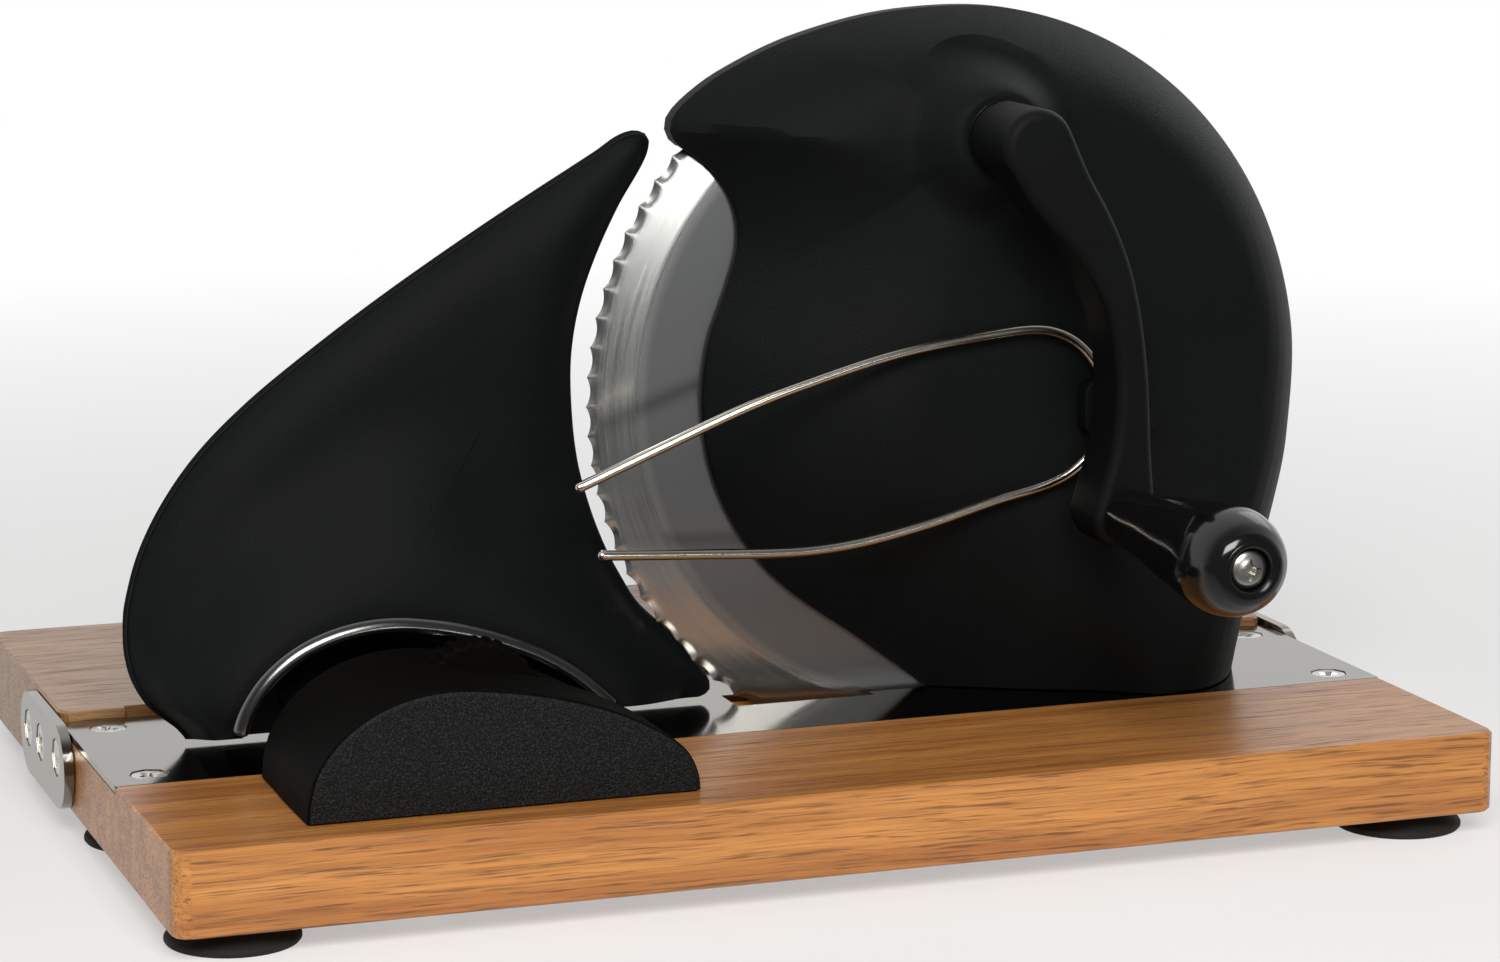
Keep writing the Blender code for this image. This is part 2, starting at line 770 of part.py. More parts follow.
def distance_to(point, outline):
    """From a point to the nearest side of a closed outline."""
    best = 1
    for i in range(len(outline)):
        a = outline[i - 1]
        side = outline[i] - a
        t = min(max((point - a).dot(side) / side.length_squared, 0), 1)
        best = min(best, (a + side * t - point).length)
    return best


def front_rise(angle, outline, spot):
    """How far the housing's front stands before its rim at one spot."""
    width, power = curve_at(angle)
    full = blend(front_depth_foot, front_depth_top, (spot.y + blade_z - 3 * mm) / (50 * mm))
    lost = max(0, 1 - distance_to(spot, outline) / width)
    return rim_straight + (full - rim_straight) * (1 - lost ** power)


def spaced(outline, step):
    """Points evenly spaced along a closed outline."""
    points = [Vector(p) for p in outline]
    points.append(points[0])
    total = sum((b - a).length for a, b in zip(points, points[1:]))
    count = round(total / step)
    pitch = total / count
    even = []
    walked = 0
    for a, b in zip(points, points[1:]):
        side = (b - a).length
        while len(even) < count and len(even) * pitch <= walked + side:
            even.append(a + (b - a) * (len(even) * pitch - walked) / side)
        walked += side
    return even


def housing_rings(outline, edge, shares, thin):
    """Rings from an edge line over the front to the crank boss; -Y is measured from the rim."""
    centre = Vector((0, crank_z - blade_z))
    rings = []
    for share in shares:
        ring = []
        for spoke in [spot - centre for spot in edge]:
            angle = math.atan2(spoke.y, spoke.x)
            end = min(boss_foot_radius, spoke.length - 3 * mm) - thin
            radius = spoke.length + (end - spoke.length) * share
            spot = centre + spoke.normalized() * radius
            ring.append((spot.x, thin - front_rise(angle, outline, spot), spot.y))
        rings.append(ring)
    return rings


def boss_rings(last, rows):
    """Rings over the crank boss, a cone with a hollow curve at its foot."""
    centre = Vector((0, crank_z - blade_z))
    top = front_depth_top + boss_height
    rings = []
    for row in range(1, rows + 1):
        share = row / rows
        ring = []
        for x, y, z in last:
            spoke = Vector((x, z)) - centre
            radius = spoke.length + (boss_top_radius - spoke.length) * share ** 0.85
            spot = centre + spoke.normalized() * radius
            ring.append((spot.x, -blend(-y, top, share), spot.y))
        rings.append(ring)
    return rings


def post(name, x, z, radius, back, cavity):
    """A round post along Y, left standing on the housing's inner front."""
    length = front_depth_foot + wall
    piece = rod(name, radius, length, None, 12)
    place(piece, "slicer", (x, back - length / 2, z), upright)
    boolean(cavity, piece)


cover_posts = (
    (-28 * mm, dome_radius - 23 * mm), (dome_radius - 29 * mm, 30 * mm), (dome_radius - 35 * mm, -40 * mm))
foot_screw_x = (dome_radius - 61 * mm, dome_radius - 35 * mm)
foot_screw_y = -28 * mm


def build_housing(wheel_mid):
    outline = housing_outline()
    shares = (0, 0.05, 0.12, 0.22, 0.36, 0.6, 1)
    rings = housing_rings(outline, spaced(outline, 10 * mm), shares, 0)
    rim = [(x, 0, z) for x, y, z in rings[0]]
    housing = loft("housing", [rim] + rings + boss_rings(rings[-1], 3), black_shell)
    place(housing, "slicer", (blade_x, rim_y, blade_z))

    inner_edge = offset_outline(spaced(outline, 16 * mm), -wall)
    inner = housing_rings(outline, inner_edge, (0, 0.1, 0.25, 0.5, 1), wall)
    level = front_inside - rim_y
    inner = [[(x, max(y, level), z) for x, y, z in ring] for ring in inner]
    mouth = [(x, 5 * mm, z) for x, y, z in inner[0]]
    cavity = loft("housing_cavity", [mouth] + inner)
    place(cavity, "slicer", (blade_x, rim_y, blade_z))
    for number, (x, z) in enumerate(cover_posts, 1):
        post("cover_post_%d" % number, blade_x + x, blade_z + z, 4.5 * mm, cover_front - gap, cavity)
    post("shaft_socket", blade_x, blade_z, shaft_radius + 3.5 * mm, wheel_mid - gear_width / 2 - 1 * mm, cavity)
    for number, x in enumerate(foot_screw_x, 1):
        stub = rod("foot_post_%d" % number, 4.6 * mm, 34 * mm, None, 12)
        place(stub, "slicer", (blade_x + x, foot_screw_y, 0))
        boolean(cavity, stub)
    seat_line = offset_outline(spaced(outline, 12 * mm), gap - cover_inset)
    seat = flat("cover_seat", seat_line, cover_thick + 4 * gap)
    place(seat, "slicer", (blade_x, recess_y - cover_thick / 2, blade_z), upright)
    floor = box("housing_floor", (2 * board_length, 2 * board_length, board_length))
    place(floor, "slicer", (blade_x, rim_y, wall + gap - board_length / 2))
    for space in (cavity, seat):
        boolean(space, floor)
        boolean(housing, space)

    bore = rod("socket_bore", shaft_radius + gap, 60 * mm)
    place(bore, "slicer", (blade_x, socket_end + 30 * mm, blade_z), upright)
    boolean(housing, bore)
    sleeve = crank_shaft_radius + gap + bush_wall + gap
    bore = rod("crank_bore", sleeve, 40 * mm, None, 16)
    place(bore, "slicer", (crank_x, boss_y, crank_z), upright)
    boolean(housing, bore)

    recess = rod("blade_recess", blade_radius + blade_gap, 40 * mm, None, 72)
    place(recess, "slicer", (blade_x, recess_y + 20 * mm, blade_z), upright)
    boolean(housing, recess)
    ground = box("housing_ground", (2 * board_length, 2 * board_length, board_length))
    place(ground, "slicer", (blade_x, rim_y, gap - board_length / 2))
    boolean(housing, ground)
    return outline, shade(housing, 35)


def build_cover(outline):
    """The plate that closes the gear space behind the blade and carries both shafts."""
    edge_line = offset_outline(spaced(outline, 14 * mm), -cover_inset)
    cover = flat("rear_cover", edge_line, cover_thick, black_shell)
    mid_y = (recess_y - gap + cover_front) / 2
    place(cover, "slicer", (blade_x, mid_y, blade_z), upright)
    edge = rod("cover_edge", blade_radius - 1.5 * mm, 60 * mm, None, 48)
    place(edge, "slicer", (blade_x, mid_y, blade_z), upright)
    boolean(cover, edge, "INTERSECT")
    ground = box("cover_ground", (2 * board_length, 20 * mm, board_length))
    place(ground, "slicer", (blade_x, mid_y, wall + 2 * gap - board_length / 2))
    boolean(cover, ground)

    bosses = (("blade_bush", blade_x, blade_z, shaft_radius),
              ("crank_bush_rear", crank_x, crank_z, crank_shaft_radius))
    for name, x, z, radius in bosses:
        sleeve = radius + gap + bush_wall
        hole = rod(name + "_hole", sleeve + gap, 30 * mm, None, 16)
        place(hole, "slicer", (x, mid_y, z), upright)
        boolean(cover, hole)
        front = gap
        back = -cover_thick + gap
        profile = [
            (radius + gap, front + bush_flange), (sleeve + 1.4 * mm, front + bush_flange),
            (sleeve + 1.4 * mm, front), (sleeve, front), (sleeve, back), (radius + gap, back),
        ]
        bush = turned(name, profile, bush_bronze, 16, True)
        place(bush, "slicer", (x, cover_front, z), upright)

    for number, (x, z) in enumerate(cover_posts, 1):
        at = (blade_x + x, recess_y - gap, blade_z + z)
        countersunk("cover_screw_%d" % number, "slicer", at, (-math.pi / 2, 0, 0),
                    cover_screw_head, cover_screw_shank, cover_screw_length,
                    (cover, bpy.data.objects["housing"]))


# Crank
def build_crank():
    front = boss_y - arm_front_y - 3.5 * mm
    tail = boss_y - (recess_y - gap)
    profile = [
        (0, front), (crank_shaft_radius - 0.5 * mm, front), (crank_shaft_radius, front - 0.5 * mm),
        (crank_shaft_radius, tail), (0, tail),
    ]
    shaft = turned("crank_shaft", profile, screw_steel, 16)
    place(shaft, "crank_axis", (crank_x, boss_y, crank_z), upright)

    bore = crank_shaft_radius + gap
    sleeve = bore + bush_wall
    inner_end = boss_y - front_inside + gap
    profile = [(bore, -gap), (sleeve, -gap), (sleeve, inner_end), (bore, inner_end)]
    bush = turned("crank_bush_front", profile, bush_bronze, 16, True)
    place(bush, "slicer", (crank_x, boss_y, crank_z), upright)

    rim = hub_radius + 0.2 * mm
    profile = [(bore, gap + washer_thick), (rim, gap + washer_thick), (rim, gap), (bore, gap)]
    washer = turned("crank_washer", profile, gloss_black, 20, True)
    place(washer, "crank_axis", (crank_x, boss_y, crank_z), upright)

    arm = flat("crank_arm", arm_outline(), arm_depth, black_paint)
    place(arm, "crank_axis", (crank_x, arm_front_y + arm_depth / 2, crank_z), upright)
    soften(arm, 1.4 * mm, 1, 50)
    hub = rod("crank_hub_solid", hub_radius, hub_length - 1 * mm, None, 32)
    place(hub, "crank_axis", (crank_x, (arm_front_y + 1 * mm + arm_back_y) / 2, crank_z), upright)
    boolean(arm, hub, "UNION")
    hole = rod("hub_bore", bore, 2 * (hub_length - 3.2 * mm), None, 16)
    place(hole, "crank_axis", (crank_x, arm_back_y, crank_z), upright)
    boolean(arm, hole)
    hole = rod("knob_screw_hole", knob_screw_shank + gap, 2 * (arm_depth - 3 * mm), None, 16)
    place(hole, "crank_axis", (knob_x, arm_front_y, knob_z), upright)
    boolean(arm, hole)
    shade(arm, 35)


def arm_outline():
    """The bowed arm about the crank's axis: a line of middles with a half width at each."""
    middles = [
        (0.0, 0.0, hub_radius), (0.122, 2.75 * mm, 7.4 * mm), (0.253, 7.1 * mm, 6.0 * mm),
        (0.363, 9.6 * mm, 4.9 * mm), (0.464, 10.5 * mm, 4.1 * mm), (0.565, 10.1 * mm, 3.8 * mm),
        (0.688, 8.5 * mm, 3.9 * mm), (0.837, 5.0 * mm, 4.8 * mm), (1.0, 0.0, arm_end_radius),
    ]
    down = Vector((math.sin(crank_angle), -math.cos(crank_angle)))
    side = Vector((math.cos(crank_angle), math.sin(crank_angle)))
    path = smooth_line([Vector((t * crank_radius, off, half)) for t, off, half in middles], 2)
    right = []
    left = []
    for i, here in enumerate(path):
        before = path[max(i - 1, 0)]
        after = path[min(i + 1, len(path) - 1)]
        run = Vector((after.x - before.x, after.y - before.y)).normalized()
        normal = Vector((-run.y, run.x))
        middle = Vector((here.x, here.y))
        for edge, sign in ((right, 1), (left, -1)):
            spot = middle + normal * sign * here.z
            edge.append(down * spot.x + side * spot.y)
    start = math.degrees(math.atan2(right[0].y, right[0].x))
    top = arc((0, 0), hub_radius, start, start + 180, 8)
    end_centre = (knob_x - crank_x, knob_z - crank_z)
    last = left[-1] - Vector(end_centre)
    start = math.degrees(math.atan2(last.y, last.x))
    bottom = arc(end_centre, arm_end_radius, start, start + 180, 8)
    return [tuple(p) for p in top[:-1]] + [tuple(p) for p in left[:-1]] + bottom[:-1] + \
        [tuple(p) for p in reversed(right[1:])]


def build_knob():
    """The pear shaped grip turns on a long screw in the arm's end."""
    bore = knob_screw_shank + gap
    head = knob_screw_head + gap
    seat = knob_length - knob_screw_head_height - 1.0 * mm
    shape = [
        (5.4, 0.0), (6.1, 1.2), (7.6, 15.0), (9.1, 26.0), (10.4, 37.0), (11.5, 46.0),
        (11.7, 50.0), (11.1, 54.0), (9.6, 57.6), (7.4, 60.1),
    ]
    scale = knob_length / (61 * mm)
    outside = [(radius * mm, along * mm * scale) for radius, along in reversed(shape)]
    profile = [(head, seat), (head, knob_length - 0.6 * mm), (head + 0.7 * mm, knob_length)] + outside
    profile += [(bore, 0), (bore, seat)]
    knob = turned("crank_knob", profile, gloss_black, 20, True)
    place(knob, "knob_axis", (knob_x, knob_back_y, knob_z), upright)

    top = knob_length + gap - 0.8 * mm
    under = seat + gap + gap
    profile = [
        (0, top), (knob_screw_head * 0.55, top - 0.1 * mm), (knob_screw_head * 0.9, top - 0.6 * mm),
        (knob_screw_head, top - 1.1 * mm), (knob_screw_head, under), (knob_screw_shank, under),
        (knob_screw_shank, -arm_depth + 4.2 * mm), (0, -arm_depth + 3.6 * mm),
    ]
    screw = turned("knob_screw", profile, screw_steel, 16)
    place(screw, "crank_axis", (knob_x, arm_front_y, knob_z), upright)


# Slice guard
def build_guard(housing):
    """A wire hairpin held to the housing's front by a grooved clamp and a screw."""
    middles = [
        (-46.7, 56.3), (-27.5, 64.0), (-9.2, 71.2), (4.6, 75.7), (27.9, 81.7), (51.5, 84.9),
        (63.0, 85.2), (70.5, 82.2), (76.0, 76.0), (78.6, 67.3), (76.0, 58.6), (70.5, 53.2),
        (64.0, 50.3), (52.0, 47.6), (35.2, 43.2), (18.7, 40.1), (4.7, 39.2), (-18.4, 40.3), (-42.0, 41.7),
    ]
    points = []
    for x, z in middles:
        share = (78.6 - x) / (78.6 + 46.7)
        points.append(Vector((x * mm, -(wire_back + (wire_front - wire_back) * share), z * mm)))
    line = smooth_line(points, 2)
    wire = tube("slice_guard", line, wire_radius, polished_steel, 1)
    place(wire, "slicer")

    clamp_back = rim_y - front_depth_top - gap
    clamp_thick = 5 * mm
    clamp_x = 81 * mm
    clamp_z = 67.3 * mm
    clamp = flat("guard_clamp", rounded_box(18 * mm, 12 * mm, 2.5 * mm, 3), clamp_thick, black_shell)
    place(clamp, "slicer", (clamp_x, clamp_back - clamp_thick / 2, clamp_z), upright)
    soften(clamp, 0.6 * mm, 1)
    groove = tube("guard_groove", line, wire_radius + gap, None, 1)
    place(groove, "slicer")
    boolean(clamp, groove)
    countersunk("guard_screw", "slicer", (clamp_x + 4 * mm, clamp_back - clamp_thick, clamp_z), upright,
                cover_screw_head, cover_screw_shank, 9.5 * mm, (clamp, housing))


# Guide block, thickness wheel and rods
def block_top():
    """The guide block's rounded back, seen from the front, in plate X and Z."""
    points = [
        (84.0, 0.3), (78.5, 6.2), (71.5, 12.3), (62.1, 17.9), (49.5, 22.6), (36.5, 25.3),
        (28.5, 25.6), (20.5, 24.3), (13.0, 21.3), (6.5, 16.4), (2.2, 10.5), (0.5, 5.0), (0.0, 0.3),
    ]
    return smooth_line([Vector((block_left + x * mm, z * mm)) for x, z in points], 2)


def build_block(board):
    middle_y = (block_front + block_back) / 2
    block = flat("guide_block", block_top(), block_back - block_front, black_shell)
    place(block, "slicer", (0, middle_y, 0), upright)
    soften(block, 0.9 * mm, 1, 60)
    pocket = rod("wheel_pocket", wheel_radius + run_gap, wheel_thick + 2 * run_gap, None, 32)
    place(pocket, "slicer", (wheel_x, wheel_y, wheel_z), upright)
    boolean(block, pocket)
    rod_front = stop_back_y - stop_wall + rod_seat - rod_length - slide_travel - 1.5 * mm
    spots = [(wheel_x, wheel_z, rod_radius)]
    spots += [(x, z, guide_rod_radius) for x, z in guide_rods]
    for number, (x, z, radius) in enumerate(spots):
        length = block_back + 5 * mm - rod_front
        bore = rod("block_bore_%d" % number, radius + run_gap, length, None, 12)
        place(bore, "slicer", (x, rod_front + length / 2, z), upright)
        boolean(block, bore)
    for number, y in enumerate((block_front + 7 * mm, plate_front - 6 * mm), 1):
        at = (block_left + block_screw_inset, y, -board_thick)
        countersunk("block_screw_%d" % number, "slicer", at, (math.pi, 0, 0),
                    base_screw_head, base_screw_shank, 24 * mm, (board, block))
    return block


def build_wheel():
    """A ribbed wheel that carries the thread and drives the stop plate's rod."""
    ribs = 20
    outline = []
    for i in range(ribs):
        for share, dip in ((0, 0), (0.5, 0), (0.62, 0.5), (0.88, 0.5)):
            angle = 2 * math.pi * (i + share) / ribs
            radius = wheel_radius - dip * mm
            outline.append((radius * math.cos(angle), radius * math.sin(angle)))
    wheel = flat("thickness_wheel", outline, wheel_thick, gloss_black)
    place(wheel, "wheel_axis", (wheel_x, wheel_y, wheel_z), upright)
    bore = rod("thickness_wheel_bore", rod_radius + gap, 2 * wheel_thick, None, 12)
    place(bore, "wheel_axis", (wheel_x, wheel_y, wheel_z), upright)
    boolean(wheel, bore)


def build_rods():
    seat_y = stop_back_y - stop_wall + rod_seat
    spots = [("threaded_rod", wheel_x, wheel_z, rod_radius)]
    for number, (x, z) in enumerate(guide_rods, 1):
        spots.append(("guide_rod_%d" % number, x, z, guide_rod_radius))
    for name, x, z, radius in spots:
        profile = [(0, rod_length), (radius - 0.5 * mm, rod_length), (radius, rod_length - 0.5 * mm),
                   (radius, 0), (0, 0)]
        piece = turned(name, profile, screw_steel, 12)
        place(piece, "stop_slide", (x, seat_y - gap, z), upright)


# Stop plate
def stop_outline():
    """The stop plate in plate X and Z, running anticlockwise, its right side round the blade."""
    reach = blade_radius + stop_gap
    edge = [Vector(polar(a, reach)) + Vector((blade_x, blade_z)) for a in (151, 163, 175, 187, 199, 211, 220)]
    foot = [
        (111.1, 3.4), (111.5, -8.0), (103.5, -20.0), (57.5, -22.0), (13.5, -20.0), (-4.5, -9.0),
        (-13.1, 3.4), (-17.4, 10.6), (-20.9, 19.0), (-22.0, 28.0),
    ]
    side = [
        (-19.9, 0.326), (-13.1, 0.44), (3.6, 0.567), (29.2, 0.698), (54.0, 0.822), (76.7, 0.926),
    ]
    tip = [(-0.7, 16.4), (4.0, 18.0), (5.7, 15.8), (3.7, 9.0)]
    top = edge[0].y + 18 * mm
    points = edge + [Vector((block_left + x * mm, z * mm)) for x, z in foot]
    points += [Vector((block_left + x * mm, share * top)) for x, share in side]
    points += [edge[0] + Vector((x * mm, z * mm)) for x, z in tip]
    return smooth_line(points, 4, True)


def mouth_outline(grow, drop):
    """The mouth round the guide block, with its foot at a height below the plate."""
    top = block_top()
    low = Vector((0, -drop))
    closed = [top[0] + low] + top + [top[-1] + low]
    return offset_outline(closed, grow)


def hood_span(angle):
    """How far the hood's slope runs out from the mouth, by direction in degrees."""
    spans = ((-90, 16), (0, 18), (45, 22), (90, 34), (135, 22), (180, 15), (270, 16))
    for (a, span_a), (b, span_b) in zip(spans, spans[1:]):
        if angle <= b:
            return (span_a + (span_b - span_a) * (angle - a) / (b - a)) * mm
    return spans[-1][1] * mm


def build_stop_plate():
    outline = stop_outline()
    centre = Vector((block_left + 37.5 * mm, 20 * mm))
    land = mouth_outline(mouth_gap + mouth_land, 1 * mm)
    hood_depth = stop_back_y - mouth_front
    inner_share = 2
    spokes = [spot - centre for spot in spaced(outline, 7.5 * mm)]
    rings = []
    for share in (0, 0.1, 0.25, 0.45, 0.65, 0.82, 1, inner_share):
        ring = []
        for spoke in spokes:
            angle = math.atan2(spoke.y, spoke.x)
            degrees = (math.degrees(angle) + 90) % 360 - 90
            rim = on_ray(centre, angle, land)
            radius = spoke.length + (rim - spoke.length) * min(share, 1)
            if share > 1:
                radius = rim * 0.72
            spot = centre + spoke.normalized() * radius
            right = blend(0, 1, 1 - abs(degrees - 30) / 50)
            edge_width = (13 + 9 * right) * mm
            lost = max(0, 1 - distance_to(spot, outline) / edge_width)
            depth = stop_rim + (6 - 1.2 * right) * mm * (1 - lost ** 2)
            far = distance_to(spot, land) if share < 1 else 0
            span = min(hood_span(degrees), distance_to(centre + spoke, land))
            hood = blend(0, 1, 1 - far / span)
            ring.append((spot.x, depth * (hood - 1) - hood_depth * hood, spot.y))
        if share == 0:
            rings.append([(x, 0, z) for x, y, z in ring])
        rings.append(ring)
    plate = loft("stop_plate", rings, black_shell)
    place(plate, "stop_slide", (0, stop_back_y, 0))

    deep = hood_depth + 20 * mm
    opening = flat("mouth_opening", mouth_outline(mouth_gap, 30 * mm), deep)
    place(opening, "stop_slide", (0, stop_back_y - stop_wall - deep / 2, 0), upright)
    boolean(plate, opening)
    ground = box("stop_ground", (2 * board_length, 2 * board_length, board_length))
    place(ground, "stop_slide", (0, 0, stop_lift - board_length / 2))
    boolean(plate, ground)
    seat_y = stop_back_y - stop_wall + rod_seat
    for number, (x, z, radius) in enumerate(
            [(wheel_x, wheel_z, rod_radius)] + [(x, z, guide_rod_radius) for x, z in guide_rods]):
        hole = rod("rod_seat_%d" % number, radius + gap, 10 * mm, None, 14)
        place(hole, "stop_slide", (x, seat_y - 5 * mm, z), upright)
        boolean(plate, hole)
    shade(plate, 35)

    middle = mouth_outline(mouth_gap + bead_radius, 7 * mm)
    low = stop_lift + bead_radius + 1 * mm
    bead = tube("mouth_bead", [(p.x, mouth_front - gap - bead_radius, p.y) for p in middle if p.y > low],
                bead_radius, gloss_black, 1)
    place(bead, "stop_slide")


def build_plate_screws(board, plate):
    number = 1
    for side in (-1, 1):
        for y in (plate_front + plate_screw_inset_y, board_back - plate_screw_inset_y):
            at = (side * (board_length / 2 - plate_screw_inset), y, 0)
            countersunk("plate_screw_%d" % number, "slicer", at, (0, 0, 0),
                        wood_screw_head, wood_screw_shank, wood_screw_length, (plate, board))
            number += 1


def build_housing_screws(board, plate, housing):
    for number, x in enumerate(foot_screw_x, 1):
        at = (blade_x + x, foot_screw_y, -board_thick)
        countersunk("housing_screw_%d" % number, "slicer", at, (math.pi, 0, 0),
                    base_screw_head, base_screw_shank, 30 * mm, (board, plate, housing))


front_board, steel_plate, rear_board = build_boards()
build_slot(front_board, steel_plate)
foot_number = 1
for foot_y in (board_front + foot_inset_y, board_back - foot_inset_y):
    for foot_side in (-1, 1):
        build_foot(foot_number, foot_side * (board_length / 2 - foot_inset_x), foot_y, front_board)
        foot_number += 1
for plate_side in (-1, 1):
    build_end_plate(plate_side, front_board, rear_board)
build_plate_screws(front_board, steel_plate)
build_blade()
gear_y = build_gears()
build_blade_shaft()
housing_line, housing_piece = build_housing(gear_y)
build_cover(housing_line)
build_crank()
build_knob()
build_guard(housing_piece)
build_block(front_board)
build_wheel()
build_rods()
build_stop_plate()
build_housing_screws(front_board, steel_plate, housing_piece)
bpy.context.view_layer.update()
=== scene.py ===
import math

import bmesh
import bpy
from mathutils import Matrix, Vector


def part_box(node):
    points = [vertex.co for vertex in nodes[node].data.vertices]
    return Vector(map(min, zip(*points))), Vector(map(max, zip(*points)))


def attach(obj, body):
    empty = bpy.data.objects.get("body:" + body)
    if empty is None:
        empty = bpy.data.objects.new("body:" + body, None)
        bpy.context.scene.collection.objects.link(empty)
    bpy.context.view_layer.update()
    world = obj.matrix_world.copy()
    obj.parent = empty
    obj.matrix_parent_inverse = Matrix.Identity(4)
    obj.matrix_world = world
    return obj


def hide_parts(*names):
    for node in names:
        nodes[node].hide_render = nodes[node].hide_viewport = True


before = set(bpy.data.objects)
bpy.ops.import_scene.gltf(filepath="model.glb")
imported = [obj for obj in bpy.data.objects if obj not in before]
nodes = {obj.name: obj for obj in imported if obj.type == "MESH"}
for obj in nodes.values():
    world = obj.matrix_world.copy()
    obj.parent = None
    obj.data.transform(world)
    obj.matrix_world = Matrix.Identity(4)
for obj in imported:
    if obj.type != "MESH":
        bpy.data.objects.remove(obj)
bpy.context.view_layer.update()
print("frame loaded:", len(nodes), "nodes")

# Sizes below are in millimetres from the base's middle, Z from the top of the polished plate
shift = Vector((0, 15.3, 23.5))
blade = {"x": 50.2, "y": -15.5, "z": 68.8, "radius": 84.5}
bladeMiddle = (blade["x"], blade["y"], blade["z"])
crankZ = 128.8
frontTurn = Matrix.Rotation(math.pi / 2, 4, "X")    # local Z points at the user


def toWorld(point):
    return (Vector(point) + shift) / 1000


# Shapes
def newPiece(name, mesh, material=None):
    mesh.name = name
    piece = bpy.data.objects.new(name, mesh)
    bpy.context.scene.collection.objects.link(piece)
    if material:
        mesh.materials.append(material)
    return piece


def closeMesh(work):
    bmesh.ops.remove_doubles(work, verts=work.verts, dist=1e-7)
    bmesh.ops.recalc_face_normals(work, faces=work.faces)
    mesh = bpy.data.meshes.new("mesh")
    work.to_mesh(mesh)
    work.free()
    return mesh


def joinRings(work, rings, caps=True):
    # Faces from ring to ring of vertices, with a cap on the first and the last
    for ring, after in zip(rings, rings[1:]):
        for i in range(len(ring)):
            j = (i + 1) % len(ring)
            work.faces.new((ring[i], ring[j], after[j], after[i]))
    if caps:
        work.faces.new(list(reversed(rings[0])))
        work.faces.new(rings[-1])


def loftRings(rings):
    work = bmesh.new()
    joinRings(work, [[work.verts.new(toWorld(point)) for point in ring] for ring in rings])
    return closeMesh(work)


def slabOf(outline, start, end, axis="Y"):
    # A flat outline carried from one level to another, seen from the front (Y) or from the side (X)
    def spot(x, z, level):
        return (x, level, z) if axis == "Y" else (level, x, z)
    return loftRings([[spot(x, z, level) for x, z in outline] for level in (start, end)])


def turnedMesh(profile, steps, closed=False):
    # Radius and height pairs in millimetres spun about local Z
    work = bmesh.new()
    rows = []
    for radius, height in profile:
        if radius < 1e-6:
            rows.append([work.verts.new((0, 0, height / 1000))])
            continue
        row = []
        for i in range(steps):
            a = 2 * math.pi * i / steps
            spot = (radius * math.cos(a) / 1000, radius * math.sin(a) / 1000, height / 1000)
            row.append(work.verts.new(spot))
        rows.append(row)
    pairs = list(zip(rows, rows[1:]))
    if closed:
        pairs.append((rows[-1], rows[0]))
    for row, after in pairs:
        for i in range(steps):
            j = (i + 1) % steps
            corners = [row[i % len(row)], row[j % len(row)], after[j % len(after)], after[i % len(after)]]
            kept = []
            for corner in corners:
                if corner not in kept:
                    kept.append(corner)
            if len(kept) > 2:
                work.faces.new(kept)
    return closeMesh(work)


def tubeMesh(points, radius, sides):
    # A round wire along points, with round ends
    line = [toWorld(p) for p in points]
    last = len(line) - 1
    runs = [(line[min(i + 1, last)] - line[max(i - 1, 0)]).normalized() for i in range(last + 1)]
    side = runs[0].cross(Vector((0, 1, 0))).normalized()
    stations = []
    for here, along in zip(line, runs):
        side = (side - along * side.dot(along)).normalized()
        stations.append((here, along, side.copy(), 1.0))
    turns = (0.35, 0.7, 1.1, 1.5)
    head = [(line[0] - runs[0] * radius / 1000 * math.sin(t), runs[0], stations[0][2], math.cos(t))
            for t in reversed(turns)]
    tail = [(line[-1] + runs[-1] * radius / 1000 * math.sin(t), runs[-1], stations[-1][2], math.cos(t))
            for t in turns]
    work = bmesh.new()
    rows = []
    for here, along, across, share in head + stations + tail:
        other = along.cross(across)
        row = []
        for k in range(sides):
            a = 2 * math.pi * k / sides
            out = across * math.cos(a) + other * math.sin(a)
            row.append(work.verts.new(here + out * radius * share / 1000))
        rows.append(row)
    joinRings(work, rows)
    return closeMesh(work)


def rodMesh(radius, length, steps):
    half = length / 2
    return turnedMesh([(0, half), (radius, half), (radius, -half), (0, -half)], steps)


def boxMesh(size):
    work = bmesh.new()
    bmesh.ops.create_cube(work, size=1, matrix=Matrix.Diagonal([side / 1000 for side in size] + [1]))
    return closeMesh(work)


def putAt(piece, point, turn=Matrix.Identity(4)):
    piece.matrix_world = Matrix.Translation(toWorld(point)) @ turn
    return piece


def applyAll(piece):
    # Modifiers and place are worked into the mesh, so the piece's own coordinates are the frame's
    bpy.context.view_layer.update()
    seen = piece.evaluated_get(bpy.context.evaluated_depsgraph_get())
    mesh = bpy.data.meshes.new_from_object(seen)
    mesh.transform(piece.matrix_world)
    piece.modifiers.clear()
    piece.data = mesh
    piece.matrix_world = Matrix.Identity(4)
    return piece


def cutWith(piece, cutter, how="DIFFERENCE"):
    change = piece.modifiers.new("cut", "BOOLEAN")
    change.operation = how
    change.solver = "EXACT"
    change.object = cutter
    applyAll(piece)
    bpy.data.objects.remove(cutter)
    return piece


def boreOut(piece, radius, length, place, turn=frontTurn, steps=48):
    cutWith(piece, putAt(newPiece("bore", rodMesh(radius, length, steps)), place, turn))


def roundEdges(piece, width, steps, degrees):
    change = piece.modifiers.new("edges", "BEVEL")
    change.width = width / 1000
    change.segments = steps
    change.limit_method = "ANGLE"
    change.angle_limit = math.radians(degrees)
    change.use_clamp_overlap = True


def weighShading(piece):
    change = piece.modifiers.new("shading", "WEIGHTED_NORMAL")
    change.keep_sharp = True
    change.weight = 60


